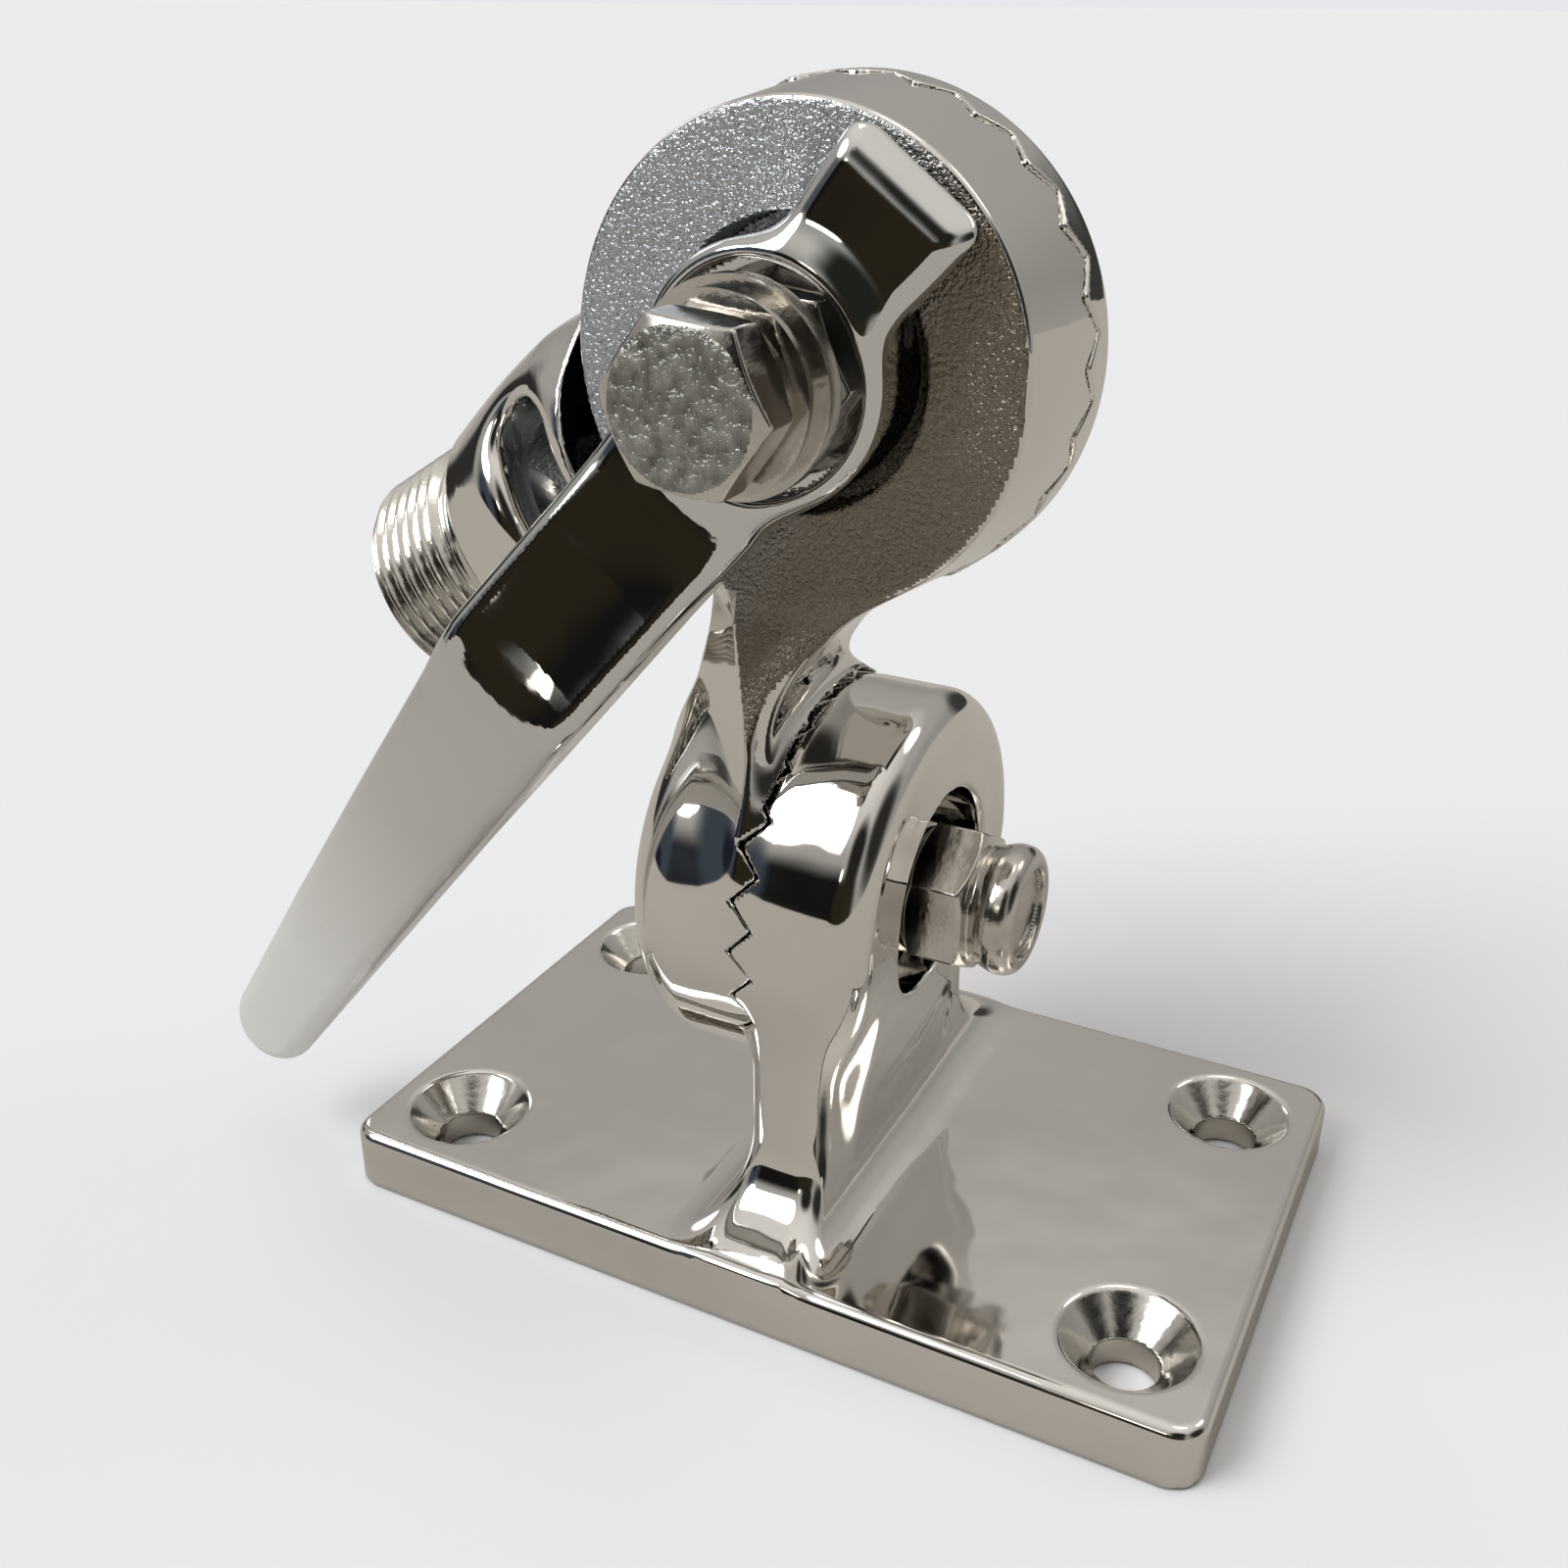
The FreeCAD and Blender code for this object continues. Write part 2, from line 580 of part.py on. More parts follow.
def split_ring(start, end):
    """A split spring washer: a square-section ring with a slanting cut."""
    body = ring(WASHER_R - 1.2, WASHER_BORE_R, start, end)
    axis = (end - start).normalize()
    slit = Part.makeBox(1.2, 8, 12, Vector(-0.6, WASHER_BORE_R - 1, -6))
    slit.rotate(Vector(0, 0, 0), Y_DIR, 25)
    slit.Placement = Placement((start + end) * 0.5, Rotation(Z_DIR, axis)).multiply(slit.Placement)
    return body.cut(slit)


def clamp_bolt():
    """Hexagon-head bolt that turns with the lever and draws the discs together."""
    head = hexagon(along_y(SPRING_WASHER_Y), along_y(BOLT_FACE_Y), False, True)
    return head.fuse(rod(SHANK_R, along_y(SPRING_WASHER_Y - 1), along_y(CLAMP_BOLT_END_Y))).removeSplitter()


def coil(start, end, turns):
    """A compression spring between two points."""
    height = (end - start).Length - 2 * SPRING_WIRE_R
    helix = Part.makeHelix(height / turns, height, SPRING_MEAN_R)
    section = Part.Wire(Part.makeCircle(SPRING_WIRE_R, Vector(SPRING_MEAN_R, 0, 0), Y_DIR))
    spring = Part.Wire(helix.Edges).makePipeShell([section], True, True)
    axis = (end - start).normalize()
    spring.Placement = Placement(start + axis * SPRING_WIRE_R, Rotation(Z_DIR, axis))
    return spring


# ---- lower clamp stack ------------------------------------------------------


def lower_bolt():
    """Hexagon-head bolt that the arm tilts on."""
    head = hexagon(along_x(HEAD_BACK_X), along_x(HEAD_BACK_X - HEAD_HEIGHT), False, True)
    return head.fuse(rod(SHANK_R, along_x(HEAD_BACK_X - 1), along_x(LOCK_END_X - 0.8))).removeSplitter()


def lower_jam_nut():
    """Thin nut in the base casting's pocket."""
    nut = hexagon(along_x(JAM_X), along_x(LOCK_X), True, True)
    return nut.cut(rod(THREAD_R, along_x(JAM_X), along_x(LOCK_X)))


def lower_lock_nut():
    """Lock nut with a rounded collar that holds a nylon ring."""
    body = hexagon(along_x(LOCK_X), along_x(COLLAR_X), True, True)
    collar = rod(HEX_FLATS / 2, along_x(COLLAR_X - 0.5), along_x(LOCK_END_X))
    rim = [edge for edge in collar.Edges if edge.BoundBox.XMin > LOCK_END_X - 0.01]
    body = body.fuse(collar.makeFillet(1.3, rim))
    body = body.cut(rod(THREAD_R, along_x(LOCK_X), along_x(LOCK_END_X)))
    insert_start = LOCK_END_X - 0.6 - INSERT_HEIGHT
    return body.cut(rod(INSERT_R, along_x(insert_start), along_x(LOCK_END_X - 0.6)))


def lower_lock_nut_insert():
    """Nylon ring that grips the bolt's thread."""
    insert_end = LOCK_END_X - 0.6
    return ring(INSERT_R, THREAD_R, along_x(insert_end - INSERT_HEIGHT), along_x(insert_end))


# ---- all pieces -------------------------------------------------------------


def pieces():
    """Every separate piece of the mount by name."""
    head_washer_end = along_x(HEAD_POCKET_X)
    return {
        "base_casting": base_casting(),
        "lower_bolt": lower_bolt(),
        "lower_head_washer": ring(WASHER_R, WASHER_BORE_R, along_x(HEAD_BACK_X), head_washer_end),
        "lower_nut_washer": ring(WASHER_R, WASHER_BORE_R, along_x(NUT_POCKET_X), along_x(JAM_X)),
        "lower_jam_nut": lower_jam_nut(),
        "lower_lock_nut": lower_lock_nut(),
        "lower_lock_nut_insert": lower_lock_nut_insert(),
        "lower_spring_seat": ring(
            SPRING_SEAT_R,
            WASHER_BORE_R,
            along_x(LOWER_SEAT_X),
            along_x(LOWER_SEAT_X + SPRING_SEAT_THICKNESS),
        ),
        "lower_release_spring": coil(along_x(LOWER_SPRING_X), along_x(LOWER_SEAT_X), 2.5),
        "tilt_arm": tilt_arm(),
        "upper_release_spring": coil(along_y(UPPER_SPRING_Y), along_y(UPPER_SEAT_Y), 3),
        "upper_spring_seat": ring(
            SPRING_SEAT_R,
            WASHER_BORE_R,
            along_y(UPPER_SEAT_Y),
            along_y(UPPER_SEAT_Y + SPRING_SEAT_THICKNESS),
        ),
        "antenna_stub": antenna_stub(),
        "lever_thrust_washer": ring(WASHER_R + 1, WASHER_BORE_R, along_y(LEVER_FOOT_Y), along_y(RECESS_Y)),
        "lever_handle": lever_handle(),
        "lever_jam_nut": lever_jam_nut(),
        "clamp_flat_washer": ring(WASHER_R - 0.4, WASHER_BORE_R, along_y(FLAT_WASHER_Y), along_y(JAM_NUT_Y)),
        "clamp_spring_washer": split_ring(along_y(SPRING_WASHER_Y), along_y(FLAT_WASHER_Y)),
        "clamp_bolt": clamp_bolt(),
    }


os.makedirs("parts", exist_ok=True)
for name, shape in pieces().items():
    shape.exportStep(f"parts/{name}.step")
    print(name, len(shape.Solids), shape.isValid(), round(shape.Volume, 1))
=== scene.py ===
import json
import math

import bpy
import numpy as np
from mathutils import Matrix, Vector


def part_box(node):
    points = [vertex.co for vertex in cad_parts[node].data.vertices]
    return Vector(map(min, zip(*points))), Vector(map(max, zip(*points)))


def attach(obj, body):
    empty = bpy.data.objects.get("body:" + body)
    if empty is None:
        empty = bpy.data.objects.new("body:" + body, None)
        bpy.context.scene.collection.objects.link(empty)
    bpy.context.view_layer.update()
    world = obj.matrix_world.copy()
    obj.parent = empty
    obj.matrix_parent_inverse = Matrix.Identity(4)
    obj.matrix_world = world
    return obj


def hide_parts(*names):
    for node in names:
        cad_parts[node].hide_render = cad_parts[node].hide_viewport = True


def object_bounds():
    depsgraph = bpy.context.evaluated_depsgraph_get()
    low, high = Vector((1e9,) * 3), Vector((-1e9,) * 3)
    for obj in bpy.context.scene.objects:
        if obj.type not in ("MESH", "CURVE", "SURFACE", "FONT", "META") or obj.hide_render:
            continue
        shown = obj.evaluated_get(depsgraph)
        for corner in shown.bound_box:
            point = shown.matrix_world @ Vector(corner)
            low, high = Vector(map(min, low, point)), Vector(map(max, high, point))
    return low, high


# Looks for the two-axis antenna mount. The four castings are rebuilt as distance
# fields, so that every joint between their shapes has the soft fillet of a polished
# casting. The bolts and nuts are rebuilt the same way, finer. Washers, springs and
# seats keep their CAD shape. Fields are in millimetres, and objects in metres.

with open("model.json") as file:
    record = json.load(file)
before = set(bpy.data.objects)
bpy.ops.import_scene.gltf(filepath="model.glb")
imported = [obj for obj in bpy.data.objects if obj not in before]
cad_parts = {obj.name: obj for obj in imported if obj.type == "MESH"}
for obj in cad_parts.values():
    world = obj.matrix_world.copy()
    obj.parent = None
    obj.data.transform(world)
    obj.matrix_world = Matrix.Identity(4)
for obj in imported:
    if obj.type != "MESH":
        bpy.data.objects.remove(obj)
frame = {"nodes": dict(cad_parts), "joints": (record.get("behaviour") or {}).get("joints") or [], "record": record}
CAD_LOW, CAD_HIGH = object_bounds()

MM = 1000.0
X_AXIS = np.array([1.0, 0.0, 0.0])
Y_AXIS = np.array([0.0, 1.0, 0.0])
Z_AXIS = np.array([0.0, 0.0, 1.0])


def box_mm(node):
    """Lowest and highest corner of a CAD node, in millimetres."""
    low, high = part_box(node)
    return np.array(low) * MM, np.array(high) * MM


def hinge_centre(joint_name):
    """A point on a hinge's axis, in millimetres."""
    joint = next(joint for joint in frame["joints"] if joint["name"] == joint_name)
    return np.array(joint["pos_m"]) * MM


# ---- sizes -------------------------------------------------------------------

LOWER_CENTRE = hinge_centre("lower_tilt")
UPPER_CENTRE = hinge_centre("upper_tilt")
PLATE_HIGH = box_mm("base_casting")[1]
STUB_HIGH = box_mm("antenna_stub")[1]
LEVER_LOW, LEVER_HIGH = box_mm("lever_handle")

# Base plate and fin
PLATE_THICKNESS = 7.0
PLATE_CORNER_R = 3.5
PLATE_EDGE_R = 1.3
HOLE_INSET_X = 10.0
HOLE_INSET_Y = 10.0
HOLE_R = 3.5
COUNTERSINK_R = 7.05
FIN_HALF_WIDTH = 20.3
FIN_LEFT_X = -3.0
FIN_EDGE_X = 6.2
FIN_PAD_X = 9.3
FIN_PAD_HALF = 15.5
FIN_ROOT_Z = 4.0
FOOT_FLARE = 8.2
FOOT_SIDE_FLARE = 1.5
FOOT_HEIGHT = 10.5

# Lower joint
LOWER_DISC_R = PLATE_HIGH[2] - LOWER_CENTRE[2]
LOWER_TEETH_X = -2.9
LOWER_FIXED_FACE_X = 9.5
LOWER_ARM_FACE_X = -18.0
NUT_POCKET_R = 11.4
NUT_POCKET_X = box_mm("lower_nut_washer")[0][0]
HEAD_POCKET_R = 10.6
HEAD_POCKET_X = box_mm("lower_head_washer")[1][0]
BOLT_HOLE_R = 5.3
LOWER_ARM_EDGE = 6.5
DISC_OVERLAP = 8.0

# Upper joint
UPPER_DISC_R = 24.45
UPPER_FACE_R = 22.9
UPPER_TEETH_Y = 1.8
UPPER_ARM_FACE_Y = -11.0
UPPER_ARM_DEPTH = 20.0
UPPER_RIM_TAPER = 15.0
RECESS_R = 13.4
RECESS_Y = box_mm("lever_thrust_washer")[1][1]
STUB_BACK_Y = 8.4
RIM_GAP = 0.9

# Serrations
TOOTH_COUNT = 24
TOOTH_DEPTH = 2.6
TOOTH_TIP_SHARE = 0.8
TOOTH_GAP = 0.2
TOOTH_SLOPE_COSINE = 0.78

# Threaded stub
STUB_DROP = math.radians(32.5)
STUB_DIRECTION = np.array([-math.cos(STUB_DROP), 0.0, -math.sin(STUB_DROP)])
STUB_ORIGIN = UPPER_CENTRE + Y_AXIS * 1.0
STUB_THREAD_R = 12.7
STUB_PITCH = 25.4 / 14
STUB_SHOULDER = 45.0
STUB_RELIEF_END = 46.7
STUB_RELIEF_R = 11.4
STUB_REACH = 59.4
STUB_BORE_R = 8.0
STUB_BORE_START = 27.0
BULB_LIFT = 1.9
BULB_LIFT_START = 28.0
BULB_START = 6.0
BOSS_R = 14.5
SLOT_CENTRE = 31.5
SLOT_HALF_WIDTH = 3.6
SLOT_HALF_LENGTH = 11.0
BULB_PROFILE = ((4.0, 8.0), (14.0, 13.3), (24.0, 14.9), (33.0, 14.8), (40.0, 14.0), (46.0, 12.7))

# Lever
LEVER_ANGLE = math.radians(53.0)
LEVER_DIRECTION = np.array([-math.cos(LEVER_ANGLE), 0.0, -math.sin(LEVER_ANGLE)])
LEVER_ACROSS = np.cross(LEVER_DIRECTION, Y_AXIS)
LEVER_HUB_R = 12.0
LEVER_RIM_Y = -18.4
LEVER_FACE_Y = -16.2
LEVER_FOOT_Y = LEVER_HIGH[1]
LEVER_TAIL = -23.6
LEVER_TIP = 105.2
LEVER_HOLLOW_HALF = 7.0
LEVER_HOLLOW_DEPTH = 0.9
LEVER_CROWN = 0.9
TAIL_BEVEL_START = -20.2
TAIL_BEVEL_Y = -15.6
TAIL_BEVEL_ANGLE = math.radians(33)
PADDLE_START = 38.0

# Fasteners
HEX_FLATS = 14.29
HEX_FACE_R = 6.9
HEX_CHAMFER = math.radians(30)
STRUCK_FACE_R = 6.5
WASHER_FACE_R = HEX_FLATS / 2 - 0.4
WASHER_FACE_HEIGHT = 0.5
LOCK_HEX_LENGTH = 6.6
THREAD_R = 4.76
SHANK_R = THREAD_R - 0.05
CLAMP_HEX_TURN = math.radians(5.5)
LOWER_HEX_TURN = math.radians(90)

# Beyond every surface along a joint's axis, where a hole may end
FAR = 30.0

# Painted light on the sand-cast face: painted shade, darker and browner towards its lower right, and a painted
# cool reflection, lighter towards its upper left
PAINTED_SHADE_ANGLE = 0.5
PAINTED_SHADE_DIRECTION = np.array([math.cos(PAINTED_SHADE_ANGLE), 0.0, -math.sin(PAINTED_SHADE_ANGLE)])


# ---- distance fields ---------------------------------------------------------
# Every field takes points as a (3, n) array, and is negative inside the metal.


def rounded_corner(first, second, edge):
    """The space inside two crossing walls, with their shared corner rounded by edge."""
    first = first + edge
    second = second + edge
    outside = np.hypot(np.maximum(first, 0), np.maximum(second, 0))
    return outside + np.minimum(np.maximum(first, second), 0) - edge


def blend(first, second, radius):
    """Two shapes joined with a fillet."""
    share = np.clip(0.5 + 0.5 * (second - first) / radius, 0, 1)
    return second + (first - second) * share - radius * share * (1 - share)


def carve(body, hole, radius):
    """A shape with a hole in it, whose rim is eased by radius."""
    return -blend(-body, hole, radius)


def eased(position, knots, width):
    """A value along a length: straight between its knots, eased over width at each knot."""
    places, values = zip(*knots)
    offsets = np.linspace(-width / 2, width / 2, 9)
    return sum(np.interp(position + offset, places, values) for offset in offsets) / len(offsets)


def along_and_out(points, start, direction):
    """How far points are along an axis, and out from it."""
    offset = points - start[:, None]
    along = direction @ offset
    out = np.sqrt(np.maximum((offset ** 2).sum(0) - along ** 2, 0))
    return along, out


def rod_field(points, start, end, radius, edge=0.0):
    """A round bar between two points, with its rims rounded by edge."""
    length = np.linalg.norm(end - start)
    along, out = along_and_out(points, start, (end - start) / length)
    return rounded_corner(out - radius, np.abs(along - length / 2) - length / 2, edge)


def lower_point(x):
    """The point at x on the lower joint's axis."""
    return np.array([x, LOWER_CENTRE[1], LOWER_CENTRE[2]])


def upper_point(y):
    """The point at y on the upper joint's axis."""
    return np.array([UPPER_CENTRE[0], y, UPPER_CENTRE[2]])


def serration_field(points, centre, axis, disc_r, sign):
    """The space in front of a serrated face of a casting that lies along axis, or against it."""
    offset = points - centre[:, None]
    height = axis @ offset
    up = Z_AXIS @ offset
    side = np.cross(axis, Z_AXIS) @ offset
    turn = np.arctan2(side, up) / (2 * math.pi) * TOOTH_COUNT
    wave = 1 - 4 * np.abs(turn % 1 - 0.5)
    wave = np.maximum(wave, -TOOTH_TIP_SHARE) if sign > 0 else np.minimum(wave, TOOTH_TIP_SHARE)
    surface = sign * TOOTH_GAP / 2 + np.hypot(side, up) / disc_r * TOOTH_DEPTH / 2 * wave
    return sign * (height - surface) * TOOTH_SLOPE_COSINE


def hexagon_field(points, start, end, turn, face_r=HEX_FACE_R, round_r=0.25):
    """A hexagonal prism with both faces chamfered, turned about its own axis."""
    length = np.linalg.norm(end - start)
    axis = (end - start) / length
    along, out = along_and_out(points, start, axis)
    flat = Z_AXIS * math.cos(turn) + np.cross(axis, Z_AXIS) * math.sin(turn)
    offset = points - start[:, None]
    walls = None
    for side in range(3):
        angle = side * math.pi / 3
        direction = flat * math.cos(angle) + np.cross(axis, flat) * math.sin(angle)
        wall = np.abs(direction @ offset) - HEX_FLATS / 2
        walls = wall if walls is None else carve(walls, -wall, round_r)
    overhang = np.abs(along - length / 2) - length / 2
    chamfer = (out - face_r) * math.sin(HEX_CHAMFER) + overhang * math.cos(HEX_CHAMFER)
    return carve(carve(walls, -chamfer, round_r), -overhang, round_r)


# ---- meshing -----------------------------------------------------------------


def sampled(field, low, shape, step):
    """The field on a grid. Far from the surface a coarse grid stands in for it."""
    coarse = 4
    coarse_shape = [math.ceil(count / coarse) for count in shape]
    ticks = [(np.arange(count) + 0.5) * coarse * step + low[k] for k, count in enumerate(coarse_shape)]
    points = np.stack([axis.ravel() for axis in np.meshgrid(*ticks, indexing="ij")])
    values = field(points).reshape(coarse_shape)
    for axis in range(3):
        values = np.repeat(values, coarse, axis=axis)
    values = values[:shape[0], :shape[1], :shape[2]].copy()
    near = np.abs(values) < 1.5 * coarse * step
    places = np.argwhere(near).T
    values[near] = field(places * step + low[:, None])
    return values


def surface_net(values):
    """Points and four-sided faces where a sampled field crosses zero, in grid steps."""
    cells, crossings, rings = [], [], []
    for axis in range(3):
        near = np.delete(values, -1, axis=axis)
        far = np.delete(values, 0, axis=axis)
        crossed = (near < 0) != (far < 0)
        index = np.argwhere(crossed)
        point = index.astype(float)
        point[:, axis] += near[crossed] / (near[crossed] - far[crossed])
        second, third = (axis + 1) % 3, (axis + 2) % 3
        ring = []
        for step_second, step_third in ((0, 0), (-1, 0), (-1, -1), (0, -1)):
            cell = index.copy()
            cell[:, second] += step_second
            cell[:, third] += step_third
            flat = np.ravel_multi_index(cell.T, values.shape)
            cells.append(flat)
            crossings.append(point)
            ring.append(flat)
        ring = np.stack(ring, axis=1)
        outward = near[crossed] < 0
        rings.append(np.where(outward[:, None], ring, ring[:, ::-1]))
    names, owner = np.unique(np.concatenate(cells), return_inverse=True)
    crossings = np.concatenate(crossings)
    tally = np.bincount(owner)
    points = np.stack([np.bincount(owner, crossings[:, k]) / tally for k in range(3)])
    return points, np.searchsorted(names, np.concatenate(rings))


def settled(points, field, step):
    """Points moved onto the field's surface, and the outward direction at each."""
    reach = 0.06
    for _ in range(3):
        slope = np.stack([
            field(points + reach * axis[:, None]) - field(points - reach * axis[:, None])
            for axis in (X_AXIS, Y_AXIS, Z_AXIS)
        ]) / (2 * reach)
        steepness = np.maximum((slope ** 2).sum(0), 0.05)
        move = np.clip(field(points) / steepness, -step, step)
        points = points - move * slope
    return points, slope / np.sqrt(steepness)


def mesh_object(name, points, faces, normals=None):
    """A smooth-shaded mesh object from points in millimetres."""
    mesh = bpy.data.meshes.new(name)
    mesh.vertices.add(points.shape[1])
    mesh.vertices.foreach_set("co", (points.T / MM).ravel())
    mesh.loops.add(faces.size)
    mesh.loops.foreach_set("vertex_index", faces.ravel())
    mesh.polygons.add(len(faces))
    mesh.polygons.foreach_set("loop_start", np.arange(len(faces)) * faces.shape[1])
    mesh.update(calc_edges=True)
    mesh.polygons.foreach_set("use_smooth", np.ones(len(faces), bool))
    if normals is not None:
        mesh.normals_split_custom_set_from_vertices(normals.T.tolist())
    piece = bpy.data.objects.new(name, mesh)
    bpy.context.scene.collection.objects.link(piece)
    return piece


def field_object(name, field, low, high, step):
    """A mesh object of a field's surface inside a box."""
    low = low - 3 * step
    shape = np.ceil((high - low) / step).astype(int) + 4
    values = sampled(field, low, shape, step)
    points, faces = surface_net(values)
    points = points * step + low[:, None]
    points, normals = settled(points, field, step)
    return mesh_object(name, points, faces, normals)


# ---- castings ----------------------------------------------------------------


def from_screw_hole(points):
    """How far points are from the axis of the nearest screw hole."""
    x = np.abs(points[0]) - (PLATE_HIGH[0] - HOLE_INSET_X)
    y = np.abs(points[1]) - (PLATE_HIGH[1] - HOLE_INSET_Y)
    return np.hypot(x, y)


def plate_field(points):
    """The base plate, rounded at its corners and upper edge, with countersunk holes."""
    half_x, half_y = PLATE_HIGH[0], PLATE_HIGH[1]
    outline = rounded_corner(np.abs(points[0]) - half_x, np.abs(points[1]) - half_y, PLATE_CORNER_R)
    plate = np.maximum(rounded_corner(outline, points[2] - PLATE_THICKNESS, PLATE_EDGE_R), -points[2])
    sink_r = np.maximum(points[2] - PLATE_THICKNESS + COUNTERSINK_R, HOLE_R)
    return carve(plate, (from_screw_hole(points) - sink_r) * math.sqrt(0.5), 0.35)


def fin_right(z):
    """How far right the fin reaches at each height, where it narrows below the disc."""
    return eased(z, ((25.0, FIN_EDGE_X), (35.0, LOWER_FIXED_FACE_X)), 8)


def fin_field(points):
    """The upright web, rounded into the disc above it and flared at its foot."""
    x, y, z = points
    flare = np.clip((PLATE_THICKNESS + FOOT_HEIGHT - z) / FOOT_HEIGHT, 0, 1) ** 3
    side = np.hypot(y, np.maximum(z - LOWER_CENTRE[2], 0))
    right = fin_right(z)
    middle = (FIN_LEFT_X + right) / 2
    reach = right - middle + FOOT_SIDE_FLARE * flare
    web = rounded_corner(np.abs(x - middle) - reach, side - FIN_HALF_WIDTH - FOOT_FLARE * flare, 2.6)
    return np.maximum(web, FIN_ROOT_Z - z)


def pad_field(points):
    """The flat pad around the nut's pocket, which leans in to nothing at the fin's foot."""
    x, y, z = points
    reach = eased(z, ((8.0, FIN_EDGE_X - 1.5), (30.0, FIN_PAD_X)), 6)
    side = np.hypot(y, np.maximum(z - LOWER_CENTRE[2], 0))
    pad = rounded_corner(np.maximum(x - reach, FIN_LEFT_X - x), side - FIN_PAD_HALF, 3.5)
    return np.maximum(pad, FIN_ROOT_Z - z)


def base_field(points):
    """Plate, fin and fixed serrated disc."""
    along, out = along_and_out(points, lower_point(LOWER_TEETH_X), X_AXIS)
    right = fin_right(points[2]) - LOWER_TEETH_X
    disc = np.maximum(rounded_corner(out - LOWER_DISC_R, along - right, 3.0), -along - DISC_OVERLAP)
    upright = blend(blend(disc, fin_field(points), 3.0), pad_field(points), 2.0)
    mouth = serration_field(points, lower_point(LOWER_TEETH_X), X_AXIS, LOWER_DISC_R, 1)
    upright = carve(upright, np.maximum(mouth, out - LOWER_DISC_R - 1.5), 0.2)
    upright = np.maximum(upright, LOWER_TEETH_X - TOOTH_DEPTH - points[0])
    pocket = rod_field(points, lower_point(NUT_POCKET_X), lower_point(FAR), NUT_POCKET_R)
    upright = carve(upright, pocket, 0.7)
    upright = np.maximum(upright, -rod_field(points, lower_point(-FAR), lower_point(FAR), BOLT_HOLE_R))
    body = blend(plate_field(points), upright, 4.0)
    return np.maximum(body, np.abs(points[1]) - PLATE_HIGH[1])


# Neck of the arm: height, then the value there
NECK_LEFT = ((46.0, -17.4), (56.0, -17.2), (63.0, -15.2), (69.0, -12.9), (79.0, -13.0))
NECK_RIGHT = ((46.0, -3.2), (63.0, -3.2), (69.0, 0.5), (79.0, 10.0))
NECK_FRONT = ((46.0, -19.5), (56.0, -18.6), (63.0, -15.4), (69.0, -13.0), (79.0, -11.0))
NECK_BACK = ((46.0, 19.0), (56.0, 13.5), (63.0, 4.5), (69.0, 1.4), (79.0, 1.4))
NECK_MIDDLE = 62.0
NECK_HALF_HEIGHT = 17.0
# The edge down the front of the neck, with a rough facet to its right and a polished flank to its left
EDGE_TOP = (-9.4, -11.0, 74.3)
EDGE_FOOT = (-3.2, -18.2, 55.6)
FACET_CORNERS = np.array([EDGE_TOP, EDGE_FOOT, (1.8, -11.0, 71.2)])
FLANK_CORNERS = np.array([EDGE_TOP, EDGE_FOOT, (-15.5, -8.0, 56.0)])


def plane_field(points, corners):
    """Height in front of the plane through three points, on the side of the lever."""
    first, second, third = corners
    normal = np.cross(second - first, third - first)
    normal = normal / np.linalg.norm(normal)
    normal = normal * -np.sign(normal[1])
    return normal @ (points - first[:, None])


def neck_field(points):
    """The web between the two discs of the arm, cut flat where it was left rough."""
    x, y, z = points
    left, right = eased(z, NECK_LEFT, 6), eased(z, NECK_RIGHT, 6)
    front, back = eased(z, NECK_FRONT, 6), eased(z, NECK_BACK, 6)
    half_x, half_y = (right - left) / 2, (back - front) / 2
    corner = 0.5 * np.minimum(half_x, half_y)
    wall_x = np.abs(x - (left + right) / 2) - half_x
    wall_y = np.abs(y - (front + back) / 2) - half_y
    neck = rounded_corner(wall_x, wall_y, corner)
    facet = plane_field(points, FACET_CORNERS)
    flank = plane_field(points, FLANK_CORNERS)
    neck = carve(neck, -np.maximum(facet, flank), 0.6)
    return np.maximum(neck, np.abs(z - NECK_MIDDLE) - NECK_HALF_HEIGHT)


def arm_field(points):
    """Lower serrated disc, neck and upper serrated disc."""
    inner_face = lower_point(LOWER_TEETH_X + DISC_OVERLAP)
    lower = rod_field(points, lower_point(LOWER_ARM_FACE_X), inner_face, LOWER_DISC_R, LOWER_ARM_EDGE)
    along, out = along_and_out(points, upper_point(UPPER_ARM_FACE_Y), Y_AXIS)
    rim_r = UPPER_FACE_R + (UPPER_DISC_R - UPPER_FACE_R) * np.clip(along / UPPER_RIM_TAPER, 0, 1)
    half_depth = UPPER_ARM_DEPTH / 2
    upper = rounded_corner(out - rim_r, np.abs(along - half_depth) - half_depth, 0.7)
    body = blend(blend(lower, neck_field(points), 4.0), upper, 3.0)
    lower_out = np.hypot(points[1], points[2] - LOWER_CENTRE[2]) - LOWER_DISC_R
    lower_mouth = serration_field(points, lower_point(LOWER_TEETH_X), X_AXIS, LOWER_DISC_R, -1)
    body = carve(body, np.maximum(lower_mouth, lower_out - 0.8), 0.2)
    upper_mouth = serration_field(points, upper_point(UPPER_TEETH_Y), Y_AXIS, UPPER_DISC_R, -1)
    body = carve(body, np.maximum(upper_mouth, out - UPPER_DISC_R - 3), 0.2)
    body = carve(body, rod_field(points, upper_point(-FAR), upper_point(RECESS_Y), RECESS_R), 0.5)
    body = carve(body, rod_field(points, lower_point(-FAR), lower_point(HEAD_POCKET_X), HEAD_POCKET_R), 0.7)
    body = np.maximum(body, -rod_field(points, lower_point(-FAR), lower_point(FAR), BOLT_HOLE_R))
    return np.maximum(body, -rod_field(points, upper_point(-FAR), upper_point(FAR), BOLT_HOLE_R))


